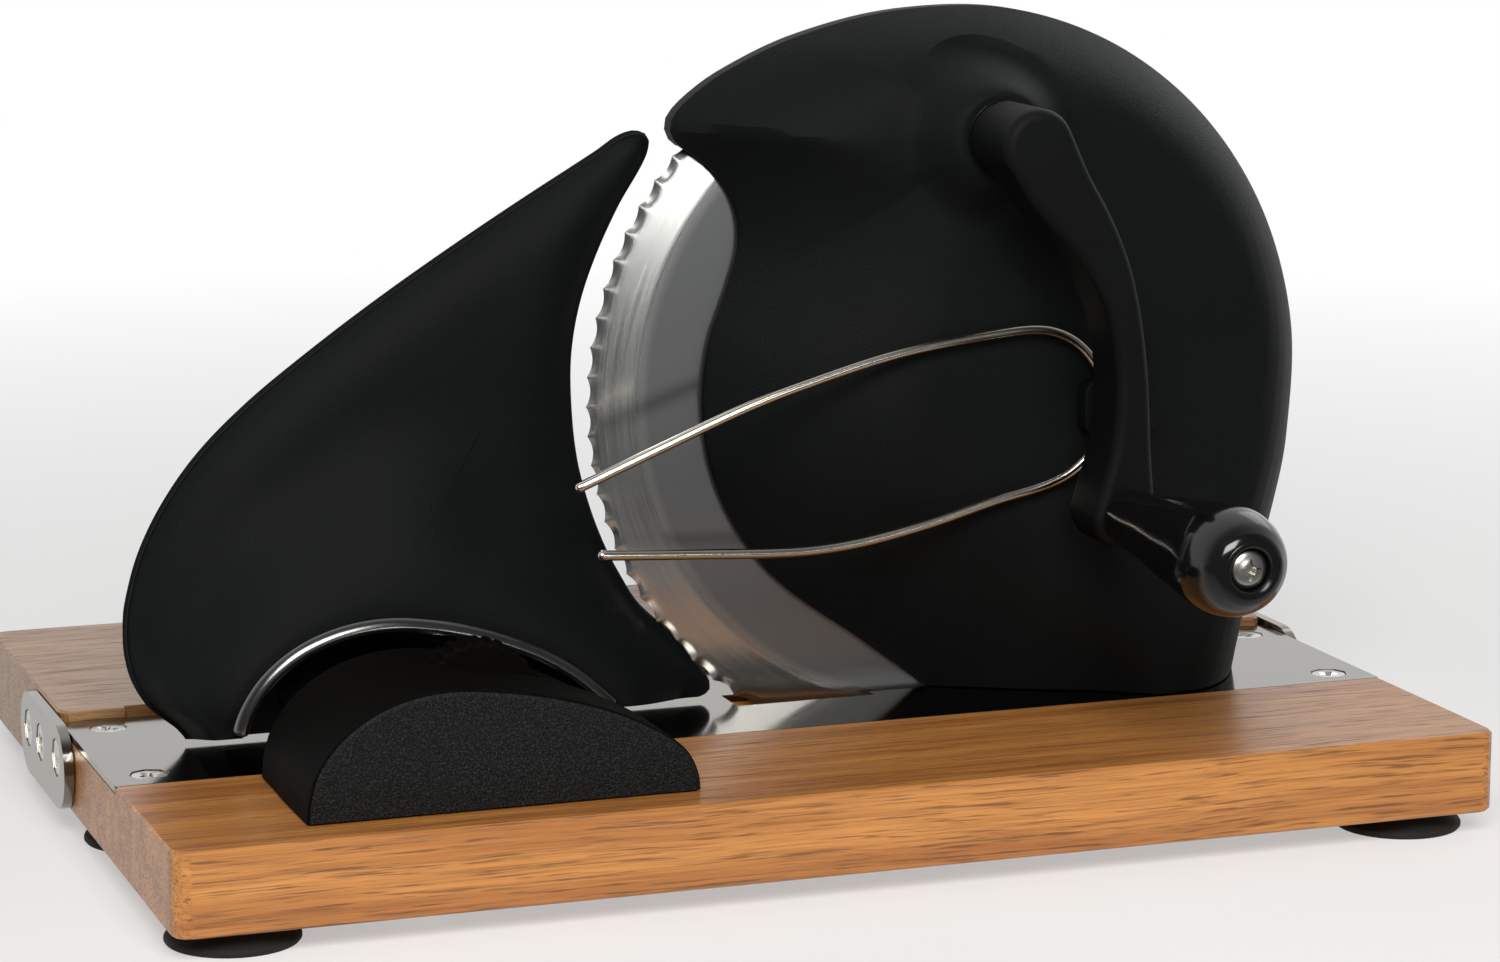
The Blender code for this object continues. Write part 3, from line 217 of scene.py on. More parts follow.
def smoothPiece(piece, degrees, weighted=True):
    piece.data.shade_smooth()
    piece.data.set_sharp_from_angle(angle=math.radians(degrees))
    if weighted:
        weighShading(piece)


def dressNode(name, material, width, steps=2, degrees=30):
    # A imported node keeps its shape; its split mesh is joined, its edges rounded and its shading smoothed
    node = nodes[name]
    node.data.materials.clear()
    node.data.materials.append(material)
    join = node.modifiers.new("join", "WELD")
    join.merge_threshold = 0.000005
    flatten = node.modifiers.new("flatten", "DECIMATE")
    flatten.decimate_type = "DISSOLVE"
    flatten.angle_limit = math.radians(0.4)
    roundEdges(node, width, steps, degrees)
    node.modifiers.new("smooth", "NODES").node_group = smoothGroup
    weighShading(node)


def buildSmoothGroup(degrees=38):
    # Smooth faces, with an edge left sharp where it turns more than this
    group = bpy.data.node_groups.new("smoothByAngle", "GeometryNodeTree")
    for way in ("INPUT", "OUTPUT"):
        group.interface.new_socket(name="Geometry", in_out=way, socket_type="NodeSocketGeometry")
    start = group.nodes.new("NodeGroupInput")
    end = group.nodes.new("NodeGroupOutput")
    faces = group.nodes.new("GeometryNodeSetShadeSmooth")
    edges = group.nodes.new("GeometryNodeSetShadeSmooth")
    edges.domain = "EDGE"
    angle = group.nodes.new("GeometryNodeInputMeshEdgeAngle")
    small = group.nodes.new("FunctionNodeCompare")
    small.operation = "LESS_THAN"
    small.inputs[1].default_value = math.radians(degrees)
    group.links.new(start.outputs[0], faces.inputs["Geometry"])
    group.links.new(faces.outputs[0], edges.inputs["Geometry"])
    group.links.new(angle.outputs["Unsigned Angle"], small.inputs[0])
    group.links.new(small.outputs[0], edges.inputs["Shade Smooth"])
    group.links.new(edges.outputs[0], end.inputs[0])
    return group


smoothGroup = buildSmoothGroup()


# Curves
def hermite(before, start, end, after, t):
    # A smooth span from start to end that keeps the neighbours' directions, also where they lie unevenly
    span = (end - start).length
    first = max((start - before).length, 1e-6)
    last = max((after - end).length, 1e-6)
    pullIn = (end - before) * span / (first + span)
    pullOut = (after - start) * span / (span + last)
    near = start * (2 * t ** 3 - 3 * t * t + 1) + pullIn * (t ** 3 - 2 * t * t + t)
    return near + end * (3 * t * t - 2 * t ** 3) + pullOut * (t ** 3 - t * t)


def smoothLine(points, steps, closed=False):
    count = len(points)
    line = []
    for i in range(count if closed else count - 1):
        if closed:
            four = [Vector(points[(i + j) % count]) for j in (-1, 0, 1, 2)]
        else:
            four = [Vector(points[min(max(i + j, 0), count - 1)]) for j in (-1, 0, 1, 2)]
        line += [hermite(*four, k / steps) for k in range(steps)]
    if not closed:
        line.append(Vector(points[-1]))
    return line


def offsetOutline(points, distance):
    # Outward for an outline that runs anticlockwise
    count = len(points)
    moved = []
    for i in range(count):
        here = Vector(points[i])
        sideIn = (here - Vector(points[i - 1])).normalized()
        sideOut = (Vector(points[(i + 1) % count]) - here).normalized()
        normalIn = Vector((sideIn.y, -sideIn.x))
        normalOut = Vector((sideOut.y, -sideOut.x))
        middle = (normalIn + normalOut).normalized()
        moved.append(here + middle * distance / max(middle.dot(normalOut), 0.5))
    return moved


def evenPoints(outline, step):
    points = [Vector(p) for p in outline]
    points.append(points[0])
    total = sum((b - a).length for a, b in zip(points, points[1:]))
    count = round(total / step)
    even = []
    walked = 0
    for a, b in zip(points, points[1:]):
        side = (b - a).length
        while len(even) < count and len(even) * total / count <= walked + side:
            even.append(a + (b - a) * (len(even) * total / count - walked) / side)
        walked += side
    return even


def distanceTo(point, outline):
    best = 1e9
    for i in range(len(outline)):
        a = outline[i - 1]
        side = outline[i] - a
        t = min(max((point - a).dot(side) / side.length_squared, 0), 1)
        best = min(best, (a + side * t - point).length_squared)
    return math.sqrt(best)


def reachAlong(centre, angle, outline):
    # How far the outline lies from the centre at an angle
    direction = Vector((math.cos(angle), math.sin(angle)))
    side = Vector((-direction.y, direction.x))
    best = 0
    for i in range(len(outline)):
        a = Vector(outline[i - 1]) - centre
        b = Vector(outline[i]) - centre
        overA = a.dot(side)
        overB = b.dot(side)
        if (overA > 0) != (overB > 0):
            best = max(best, a.dot(direction) + (b - a).dot(direction) * overA / (overA - overB))
    return best


def arcPoints(x, y, radius, start, end, steps):
    angles = [math.radians(start + (end - start) * i / steps) for i in range(steps + 1)]
    return [Vector((x + radius * math.cos(a), y + radius * math.sin(a))) for a in angles]


def polar(angle, radius):
    return Vector((radius * math.cos(math.radians(angle)), radius * math.sin(math.radians(angle))))


def ease(low, high, t):
    t = min(max(t, 0), 1)
    return low + (high - low) * t * t * (3 - 2 * t)


# Finishes
class Tree:
    # A short way to place and join shader nodes
    def __init__(self, tree):
        self.tree = tree

    def add(self, kind, **inputs):
        node = self.tree.nodes.new(kind)
        for name, value in inputs.items():
            self.feed(node, name.replace("_", " "), value)
        return node

    def feed(self, node, name, value):
        socket = node.inputs[int(name)] if name.isdigit() else node.inputs[name]
        if isinstance(value, bpy.types.NodeSocket):
            self.tree.links.new(value, socket)
        else:
            socket.default_value = value

    def math(self, how, a, b):
        node = self.tree.nodes.new("ShaderNodeMath")
        node.operation = how
        self.feed(node, "0", a)
        self.feed(node, "1", b)
        return node.outputs[0]

    def slope(self, value, gain, start):
        return self.math("ADD", self.math("MULTIPLY", value, gain), start)

    def vector(self, how, *values):
        node = self.tree.nodes.new("ShaderNodeVectorMath")
        node.operation = how
        for place, value in enumerate(values):
            self.feed(node, str(place), value)
        return node.outputs["Value" if how == "LENGTH" else "Vector"]

    def noise(self, vector, scale, detail=3.0, roughness=0.5, distortion=0.0):
        node = self.add("ShaderNodeTexNoise", Vector=vector, Scale=scale, Detail=detail,
                        Roughness=roughness, Distortion=distortion)
        return node.outputs["Fac"]

    def ramp(self, value, stops):
        node = self.tree.nodes.new("ShaderNodeValToRGB")
        self.feed(node, "Fac", value)
        marks = node.color_ramp.elements
        while len(marks) < len(stops):
            marks.new(0.5)
        for mark, (place, colour) in zip(marks, stops):
            mark.position = place
            mark.color = (*colour, 1) if isinstance(colour, tuple) else (colour, colour, colour, 1)
        return node.outputs["Color"]

    def mix(self, share, a, b, how="MIX"):
        node = self.tree.nodes.new("ShaderNodeMix")
        node.data_type = "RGBA"
        node.blend_type = how
        self.feed(node, "0", share)
        for place, value in (("6", a), ("7", b)):
            self.feed(node, place, (*value, 1) if isinstance(value, tuple) else value)
        return node.outputs[2]

    def scaled(self, vector, scale, place=(0, 0, 0)):
        node = self.add("ShaderNodeMapping", Vector=vector, Scale=scale, Location=place)
        return node.outputs["Vector"]

    def place(self):
        return self.tree.nodes.new("ShaderNodeTexCoord").outputs["Object"]

    def bump(self, height, strength, distance):
        return self.add("ShaderNodeBump", Height=height, Strength=strength, Distance=distance).outputs["Normal"]


def newGroup(name, inputs, outputs):
    tree = bpy.data.node_groups.new(name, "ShaderNodeTree")
    for way, sockets in (("INPUT", inputs), ("OUTPUT", outputs)):
        for label, kind in sockets.items():
            tree.interface.new_socket(name=label, in_out=way, socket_type="NodeSocket" + kind)
    return Tree(tree), tree.nodes.new("NodeGroupInput"), tree.nodes.new("NodeGroupOutput")


def newMaterial(name, **settings):
    material = bpy.data.materials.new(name)
    material.use_nodes = True
    tree = Tree(material.node_tree)
    shader = material.node_tree.nodes["Principled BSDF"]
    for label, value in settings.items():
        shader.inputs[label.replace("_", " ")].default_value = value
    return material, tree, shader


def joinFinish(tree, shader, colour, roughness, height, strength, distance):
    tree.feed(shader, "Base Color", colour)
    tree.feed(shader, "Roughness", roughness)
    tree.feed(shader, "Normal", tree.bump(height, strength, distance))


def buildGrainGroup():
    # Oak: long fibres along local X, pores as short dark dashes, and soft bands from the growth rings
    tree, start, end = newGroup("oakGrain", {"Vector": "Vector", "Pale": "Color", "Dark": "Color"},
                                {"Colour": "Color", "Pores": "Float", "Height": "Float"})
    place = start.outputs["Vector"]
    dark = start.outputs["Dark"]
    bend = tree.noise(tree.scaled(place, (9, 26, 26)), 1.0, 2.0)
    moved = tree.vector("MULTIPLY_ADD", bend, (0, 0.004, 0.004), place)
    rings = tree.noise(tree.scaled(moved, (5, 210, 210)), 1.0, 3.0, 0.6)
    fibre = tree.noise(tree.scaled(moved, (30, 1900, 1900)), 1.0, 4.0, 0.66)
    broad = tree.noise(tree.scaled(place, (7, 16, 16), (0.3, 0.1, 0)), 1.0, 2.0)
    dashes = tree.noise(tree.scaled(moved, (58, 1700, 1700), (0.7, 0, 0.2)), 1.0, 2.0, 0.6)
    bands = tree.ramp(rings, ((0.36, 0.0), (0.52, 0.5), (0.66, 1.0)))
    colour = tree.mix(bands, start.outputs["Pale"], dark)
    colour = tree.mix(tree.math("MULTIPLY", broad, 0.35), colour, dark)
    streak = tree.ramp(fibre, ((0.3, (0.62, 0.56, 0.48)), (0.5, (1.0, 1.0, 1.0)), (0.7, (1.2, 1.17, 1.1))))
    colour = tree.mix(0.9, colour, streak, "MULTIPLY")
    pores = tree.ramp(dashes, ((0.55, 0.0), (0.66, 1.0)))
    colour = tree.mix(tree.math("MULTIPLY", pores, 0.7), colour, (0.11, 0.04, 0.012))
    height = tree.math("SUBTRACT", tree.math("MULTIPLY", fibre, 0.35), pores)
    tree.feed(end, "Colour", colour)
    tree.feed(end, "Pores", pores)
    tree.feed(end, "Height", height)
    return tree.tree


def buildSkinGroup():
    # Fine pebbled skin of cast black parts, with a slow unevenness under it
    tree, start, end = newGroup("pebbledSkin", {"Vector": "Vector", "Scale": "Float"},
                                {"Height": "Float", "Mask": "Float", "Flecks": "Float"})
    place = start.outputs["Vector"]
    fine = tree.add("ShaderNodeTexVoronoi", Vector=place, Scale=start.outputs["Scale"])
    fine.feature = "SMOOTH_F1"
    grit = tree.noise(place, tree.math("MULTIPLY", start.outputs["Scale"], 1.7), 2.0, 0.6)
    slow = tree.noise(place, 42.0, 2.0)
    height = tree.math("ADD", tree.math("MULTIPLY", fine.outputs["Distance"], 0.5), grit)
    tree.feed(end, "Height", height)
    tree.feed(end, "Mask", slow)
    tree.feed(end, "Flecks", tree.ramp(grit, ((0.52, 0.0), (0.64, 1.0))))
    return tree.tree


def buildMarksGroup():
    # Fine wear lines and smears on metal and lacquer
    tree, start, end = newGroup("handlingMarks", {"Vector": "Vector", "Long": "Float", "Fine": "Float"},
                                {"Lines": "Float", "Smear": "Float"})
    place = start.outputs["Vector"]
    fine = start.outputs["Fine"]
    stretch = tree.add("ShaderNodeCombineXYZ", X=start.outputs["Long"], Y=fine, Z=fine)
    tree.feed(end, "Lines", tree.noise(tree.vector("MULTIPLY", place, stretch.outputs[0]), 1.0, 2.0))
    tree.feed(end, "Smear", tree.noise(place, 38.0, 4.0, 0.6, 0.6))
    return tree.tree


def useGroup(tree, group, **inputs):
    node = tree.tree.nodes.new("ShaderNodeGroup")
    node.node_tree = group
    for name, value in inputs.items():
        tree.feed(node, name, value)
    return node


grainGroup = buildGrainGroup()
skinGroup = buildSkinGroup()
marksGroup = buildMarksGroup()


def buildOak(name, pale, dark, offset, coat):
    material, tree, shader = newMaterial(name, Coat_Weight=coat, Coat_Roughness=0.22)
    place = tree.scaled(tree.place(), (1, 1, 1), offset)
    grain = useGroup(tree, grainGroup, Vector=place, Pale=(*pale, 1), Dark=(*dark, 1))
    roughness = tree.slope(grain.outputs["Pores"], 0.25, 0.34)
    joinFinish(tree, shader, grain.outputs["Colour"], roughness, grain.outputs["Height"], 0.35, 0.00015)
    return material


def buildShell(name, colour, roughness, level, scale, depth, flecks=1.0):
    # Cast or moulded black: pebbled, with lighter flecks on its grit
    material, tree, shader = newMaterial(name, Specular_IOR_Level=level)
    skin = useGroup(tree, skinGroup, Vector=tree.place(), Scale=scale)
    mask = skin.outputs["Mask"]
    lighter = tuple(c * 1.7 for c in colour)
    bright = tuple(c * flecks for c in lighter)
    mixed = tree.mix(skin.outputs["Flecks"], tree.mix(mask, colour, lighter), bright)
    uneven = tree.slope(mask, 0.12, roughness - 0.06)
    joinFinish(tree, shader, mixed, uneven, skin.outputs["Height"], depth, 0.0003)
    return material


def buildGloss(name, colour, roughness, ripple, level=0.5, bend=1.5):
    material, tree, shader = newMaterial(name, Specular_IOR_Level=level, IOR=bend)
    place = tree.place()
    smear = useGroup(tree, marksGroup, Vector=place, Long=40.0, Fine=1400.0).outputs["Smear"]
    lighter = tuple(c * 2.2 for c in colour)
    mixed = tree.mix(smear, colour, lighter)
    height = tree.noise(place, 130.0, 2.0)
    joinFinish(tree, shader, mixed, tree.slope(smear, 0.08, roughness), height, ripple, 0.0002)
    return material


def buildSteel(name, colour, roughness, along, fine, depth):
    material, tree, shader = newMaterial(name, Metallic=1.0)
    marks = useGroup(tree, marksGroup, Vector=tree.place(), Long=along, Fine=fine)
    darker = tuple(c * 0.86 for c in colour)
    lines = marks.outputs["Lines"]
    spread = tree.slope(marks.outputs["Smear"], 0.10, roughness - 0.03)
    joinFinish(tree, shader, tree.mix(lines, darker, colour), spread, lines, depth, 0.00003)
    return material


def buildBladeSteel():
    # Circular grinding on the bevel, and a finer satin disc inside it with a few darker spots
    material, tree, shader = newMaterial("bladeSteel", Metallic=1.0)
    fromMiddle = tree.vector("SUBTRACT", tree.place(), toWorld(bladeMiddle))
    split = tree.add("ShaderNodeSeparateXYZ", Vector=fromMiddle)
    flatSpot = tree.add("ShaderNodeCombineXYZ", X=split.outputs["X"], Z=split.outputs["Z"]).outputs[0]
    away = tree.vector("LENGTH", flatSpot)
    direction = tree.vector("NORMALIZE", flatSpot)
    step = tree.add("ShaderNodeCombineXYZ", Y=tree.math("MULTIPLY", away, 1900.0)).outputs[0]
    rings = tree.noise(tree.vector("MULTIPLY_ADD", direction, (2.2, 2.2, 2.2), step), 1.0, 3.0, 0.6)
    bevel = tree.ramp(away, ((0.0735, 0.0), (0.0740, 1.0)))
    smear = tree.noise(tree.place(), 60.0, 3.0, 0.6, 1.2)
    spots = tree.ramp(smear, ((0.62, 0.0), (0.72, 1.0)))
    disc = tree.mix(tree.math("MULTIPLY", spots, 0.45), (0.21, 0.217, 0.225), (0.18, 0.18, 0.18))
    ground = tree.mix(rings, (0.30, 0.31, 0.305), (0.60, 0.61, 0.60))
    base = tree.mix(bevel, (0.30, 0.30, 0.30), (0.17, 0.17, 0.17))
    value = tree.add("ShaderNodeSeparateColor", Color=base).outputs[0]
    mixed = tree.mix(bevel, disc, ground)
    joinFinish(tree, shader, mixed, tree.slope(rings, 0.10, value), rings, 0.35, 0.00003)
    return material


oakFront = buildOak("oakFront", (0.60, 0.265, 0.070), (0.35, 0.130, 0.033), (0.03, 0.01, 0.02), 0.08)
oakRear = buildOak("oakRear", (0.43, 0.235, 0.105), (0.30, 0.15, 0.062), (0.41, 0.33, 0.17), 0.05)
shellBlack = buildShell("shellBlack", (0.0030, 0.0036, 0.0039), 0.50, 0.08, 2300.0, 0.5)
armBlack = buildShell("armBlack", (0.0028, 0.0032, 0.0034), 0.46, 0.09, 2600.0, 0.35)
blockFace = buildShell("blockFace", (0.0030, 0.0035, 0.0037), 0.50, 0.15, 1400.0, 1.0, 4.0)
# Matte black for the guide block's sides and top and for the thickness wheel, its colour warmed towards brown
# as a painted reflection of the oak beside it
blockSideOakReflection = buildShell("blockSideOakReflection", (0.0020, 0.0018, 0.0016), 0.55, 0.02, 2600.0, 0.12)
glossBlack = buildGloss("glossBlack", (0.0025, 0.0025, 0.0028), 0.09, 0.12)
ringBlack = buildGloss("ringBlack", (0.003, 0.003, 0.003), 0.16, 0.05, 1.0, 1.7)
rubberBlack = buildShell("rubberBlack", (0.010, 0.010, 0.010), 0.75, 0.25, 700.0, 0.25)
plateSteel = buildSteel("plateSteel", (0.235, 0.22, 0.195), 0.10, 26.0, 2600.0, 0.08)
wireSteel = buildSteel("wireSteel", (0.66, 0.62, 0.55), 0.16, 60.0, 900.0, 0.12)
screwSteel = buildSteel("screwSteel", (0.66, 0.65, 0.62), 0.26, 300.0, 2200.0, 0.35)
bladeSteel = buildBladeSteel()
gearNylon = buildShell("gearNylon", (0.62, 0.58, 0.50), 0.5, 0.4, 500.0, 0.1)
bushBronze = buildSteel("bushBronze", (0.50, 0.30, 0.14), 0.32, 300.0, 1800.0, 0.3)
print("finishes made")

# Base: boards, polished plate, end plates of the fold and feet
base = {"edge": 0.55, "plateEdge": 0.15, "endEdge": 0.35, "angle": 28, "foot": 14.0, "footHigh": 5.2,
        "footTop": -18.3, "footX": 132, "footY": (-85, -3.2)}


def buildBase():
    dressNode("front_board", oakFront, base["edge"], 3, base["angle"])
    dressNode("rear_board", oakRear, base["edge"], 3, base["angle"])
    dressNode("steel_plate", plateSteel, base["plateEdge"], 2, base["angle"])
    for side in ("left", "right"):
        dressNode("end_plate_" + side, plateSteel, base["endEdge"], 2, base["angle"])
    radius = base["foot"]
    high = base["footHigh"]
    profile = [(0, 5.7), (2.6, 5.7), (3.0, 5.3), (3.0, 0), (8.4, 0), (8.9, -0.3), (9.2, -0.9), (10.2, -2.0),
               (12.6, -3.1), (13.7, -3.6), (radius, -4.1), (radius, -high + 0.5), (13.6, -high),
               (12.9, -high), (12.4, -high + 0.5), (6, -3.9), (3.4, -3.4), (3.0, -2.2), (0, -2.2)]
    spots = [(x, y) for y in base["footY"] for x in (-base["footX"], base["footX"])]
    for number, (x, y) in enumerate(spots, 1):
        foot = newPiece("rubberFoot%d" % number, turnedMesh(profile, 64), rubberBlack)
        applyAll(putAt(foot, (x, y, base["footTop"])))
        smoothPiece(foot, 40)
        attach(foot, "base")
        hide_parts("foot_%d" % number)


buildBase()

# Screws: countersunk, with a cross recess
screws = {"recess": 0.56, "arm": 0.20, "deep": 1.3, "headHigh": 2.3, "pitch": 1.1, "thread": 0.32, "tip": 1.6}


def screwMesh(name, head, shank, length):
    high = screws["headHigh"]
    rim = head - 0.02
    profile = [(0, -0.02), (head * 0.55, -0.02), (head - 0.25, -0.06), (rim, -0.22), (rim, -0.34)]
    profile.append((shank, -high))
    down = -high - 0.6
    while down > -length + screws["tip"]:
        profile += [(shank, down), (shank - screws["thread"], down - screws["pitch"] / 2)]
        down -= screws["pitch"]
    profile += [(shank * 0.6, -length + 0.6), (0, -length + 0.02)]
    piece = newPiece(name, turnedMesh(profile, 40))
    outline = []
    wide = head * screws["arm"]
    reach = head * screws["recess"]
    arm = ((wide, wide), (reach * 0.93, wide), (reach, wide * 0.6), (reach, -wide * 0.6), (reach * 0.93, -wide))
    for quarter in range(4):
        a = quarter * math.pi / 2
        for x, y in arm:
            outline.append(Vector((x * math.cos(a) - y * math.sin(a), x * math.sin(a) + y * math.cos(a))))
    outline.sort(key=lambda p: math.atan2(p.y, p.x))
    work = bmesh.new()
    rows = []
    for share, level in ((1.06, 0.5), (1.0, -0.1), (0.45, -screws["deep"])):
        rows.append([work.verts.new((p.x * share / 1000, p.y * share / 1000, level / 1000)) for p in outline])
    joinRings(work, rows)
    cutWith(piece, newPiece("cross", closeMesh(work)))
    piece.data.materials.clear()
    piece.data.materials.append(screwSteel)
    return piece


def placeScrews():
    down = Matrix.Rotation(math.pi, 4, "X")
    back = Matrix.Rotation(-math.pi / 2, 4, "X")
    left = Matrix.Rotation(-math.pi / 2, 4, "Y")
    right = Matrix.Rotation(math.pi / 2, 4, "Y")
    up = Matrix.Identity(4)
    # Nodes, body, the way the head faces, and the radii of head and shank with the length
    rows = (
        (("plate_screw_1", "plate_screw_2", "plate_screw_3", "plate_screw_4"), "base", up, (4.0, 1.5, 14)),
        (("housing_screw_1", "housing_screw_2"), "base", down, (4.2, 2.1, 30)),
        (("block_screw_1", "block_screw_2"), "base", down, (4.2, 2.1, 24)),
        (("pivot_screw_left",), "base", left, (4.2, 2.4, 9.2)),
        (("pivot_screw_right",), "base", right, (4.2, 2.4, 9.2)),
        (("leaf_screw_left_1", "leaf_screw_left_2"), "rear_leaf", left, (4.2, 2.1, 25)),
        (("leaf_screw_right_1", "leaf_screw_right_2"), "rear_leaf", right, (4.2, 2.1, 25)),
        (("cover_screw_1", "cover_screw_2", "cover_screw_3"), "base", back, (2.7, 1.4, 10)),
        (("guard_screw",), "base", frontTurn, (2.7, 1.4, 9.5)),
    )
    made = {}
    for number, (node, body, turn, kind) in enumerate([(name, *row) for names, *row in rows for name in names]):
        if kind not in made:
            made[kind] = screwMesh("crossScrew%d" % len(made), *kind)
        low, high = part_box(node)
        middle = (low + high) / 2
        facing = (turn @ Vector((0, 0, 1))).normalized()
        half = abs((high - low).dot(Vector([abs(v) for v in facing]))) / 2
        spin = Matrix.Rotation(0.5 + 1.9 * number, 4, "Z")
        screw = newPiece(node.replace("_", "") + "Cross", made[kind].data.copy())
        screw.matrix_world = Matrix.Translation(middle + facing * half) @ turn @ spin
        applyAll(screw)
        smoothPiece(screw, 30)
        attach(screw, body)
        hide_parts(node)
    for piece in made.values():
        bpy.data.objects.remove(piece)


placeScrews()
print("base and screws made")

# Blade: scalloped edge with a ground lip, a hollow ground bevel and a flat disc
teeth = {"count": 80, "deep": 1.0, "steps": 12, "fade": 2.8, "lip": 2.2, "lipDeep": 0.26, "bevel": 10.8,
         "edgeThick": 0.3, "bevelThick": 0.9, "bore": 6.3}
capSize = {"bore": 4.3, "slotWide": 3, "slotDeep": 1.1, "slotTurn": 0.6}


def buildBlade():
    across = teeth["steps"] * teeth["count"]
    angles = [2 * math.pi * i / across for i in range(across)]
    half = (teeth["edgeThick"] + teeth["bevelThick"]) / 2
    front = []
    for inward in (0.0, 0.35, 0.8, 1.3, 1.9, 2.8, 4.2, 6.4, 8.6, 10.4, 10.8, 11.2):
        ring = []
        for angle in angles:
            hollow = abs(math.sin(angle * teeth["count"] / 2)) ** 0.9
            fade = max(0, 1 - inward / teeth["fade"])
            radius = blade["radius"] - inward - teeth["deep"] * hollow * fade
            thick = teeth["edgeThick"] + teeth["bevelThick"] * min(inward / teeth["bevel"], 1) ** 0.9
            dip = teeth["lipDeep"] * hollow * max(0, 1 - inward / teeth["lip"]) ** 0.7
            x, z = radius * math.cos(angle), radius * math.sin(angle)
            ring.append((blade["x"] + x, blade["y"] + (half - thick + dip), blade["z"] + z))
        front.append(ring)
    hub = [(blade["x"] + teeth["bore"] * math.cos(angle), blade["y"] - half,
            blade["z"] + teeth["bore"] * math.sin(angle)) for angle in angles]
    rear = [[(x, blade["y"] + half, z) for x, y, z in ring] for ring in (hub, front[0])]
    work = bmesh.new()
    rows = [[work.verts.new(toWorld(point)) for point in ring] for ring in rear + front + [hub]]
    joinRings(work, rows + rows[:1], False)
    disc = newPiece("bladeDisc", closeMesh(work), bladeSteel)
    smoothPiece(disc, 28)
    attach(disc, "blade_unit")
    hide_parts("blade")


def buildBladeCap():
    bore = capSize["bore"]
    profile = [(bore, -4.45), (bore, -0.9), (14.5, -0.9), (15, -1.3), (15, -2.6), (14.6, -3.1), (12.3, -4.6),
               (9.4, -6.0), (6.4, -6.7), (3.2, -6.88), (0, -6.9), (0, -4.45)]
    piece = newPiece("bladeCap", turnedMesh(profile, 72), screwSteel)
    applyAll(putAt(piece, bladeMiddle, frontTurn))
    slot = newPiece("capSlot", boxMesh((22, capSize["slotWide"], 2 * capSize["slotDeep"])))
    turn = Matrix.Rotation(capSize["slotTurn"], 4, "Y")
    cutWith(piece, putAt(slot, (blade["x"], blade["y"] + 6.9, blade["z"]), turn))
    roundEdges(piece, 0.2, 2, 30)
    smoothPiece(piece, 35)
    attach(piece, "blade_unit")
    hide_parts("blade_cap")


buildBlade()
buildBladeCap()
for names, material, width in (
        (("blade_shaft",), screwSteel, 0.15), (("drive_wheel", "pinion"), gearNylon, 0.15),
        (("blade_bush", "crank_bush_rear", "crank_bush_front"), bushBronze, 0.12),
        (("crank_shaft", "guide_rod_1", "guide_rod_2"), screwSteel, 0.1), (("rear_cover",), shellBlack, 0.3)):
    for name in names:
        dressNode(name, material, width)
print("blade and gears made")

# Housing: one cast shell round the blade, with a crank boss that grows out of its front
shell = {"back": -14.5, "wall": 2.5, "straight": 4.2, "topDeep": 27.0, "footDeep": 31.5, "bossFoot": 21.0,
         "bossTop": 9.0, "bossHigh": 8.0, "shrink": 0.25, "pitch": 2.6, "bottom": 0.3, "window": 58.3,
         "recess": -17.1, "screwX": (76.2, 102.2), "screwY": -28, "coverSeat": -20.5}
coverScrews = ((22.2, 132.8), (108.2, 98.8), (102.2, 28.8))
# Angle round the crank's axis, and the width and power with which the front curves in there
frontCurves = ((-30, 20, 2.0), (150, 20, 2.0), (180, 26, 1.8), (215, 40, 1.5), (275, 45, 1.5), (284, 42, 1.5),
               (292, 26, 1.8), (300, 21, 2.0), (330, 20, 2.0))


def housingOutline():
    dome = blade["radius"] + 2.5
    window = shell["window"]
    points = [polar(a, dome) for a in (-10, 8, 26, 44, 62, 80, 98)]
    crest = ((114, 1.75), (126, 4), (133, 5), (136.6, 4.25), (138.2, 0.75), (137.8, -5))
    points += [polar(a, dome + r) for a, r in crest]
    points += [polar(137.5, window + 17), polar(139.5, window + 8.6), polar(145, window + 2.6)]
    points += [polar(a, window) for a in (154, 167, 180, 193, 206, 219, 231)]
    points += [Vector(p) for p in ((-20.5, -56.9), (-4.9, -68.8), (12, -83), (32, -97), (50, -104), (64, -98),
                                   (70.5, -80), (74.5, -58), (82.6, -30.5))]
    return smoothLine(points, 12, True)


def frontRise(angle, outline, spot):
    degrees = (math.degrees(angle) + 30) % 360 - 30
    width, power = frontCurves[-1][1:]
    for (a, widthA, powerA), (b, widthB, powerB) in zip(frontCurves, frontCurves[1:]):
        if degrees <= b:
            t = (degrees - a) / (b - a)
            width = widthA + (widthB - widthA) * t
            power = powerA + (powerB - powerA) * t
            break
    full = ease(shell["footDeep"], shell["topDeep"], (spot.y + blade["z"] - 3) / 50)
    lost = max(0, 1 - distanceTo(spot, outline) / width)
    return shell["straight"] + (full - shell["straight"]) * (1 - lost ** power)


def housingRings(outline, edge, shares, thin):
    centre = Vector((0, crankZ - blade["z"]))
    rings = []
    for share in shares:
        ring = []
        for spoke in [spot - centre for spot in edge]:
            end = min(shell["bossFoot"], spoke.length - 3) - thin
            spot = centre + spoke.normalized() * (spoke.length + (end - spoke.length) * share)
            rise = frontRise(math.atan2(spoke.y, spoke.x), outline, spot)
            ring.append((blade["x"] + spot.x, shell["back"] + thin - rise, blade["z"] + spot.y))
        rings.append(ring)
    return rings


def cutBelow(piece, level):
    under = newPiece("under", boxMesh((600, 600, 300)))
    cutWith(piece, putAt(under, (50, shell["back"], level - 150)))


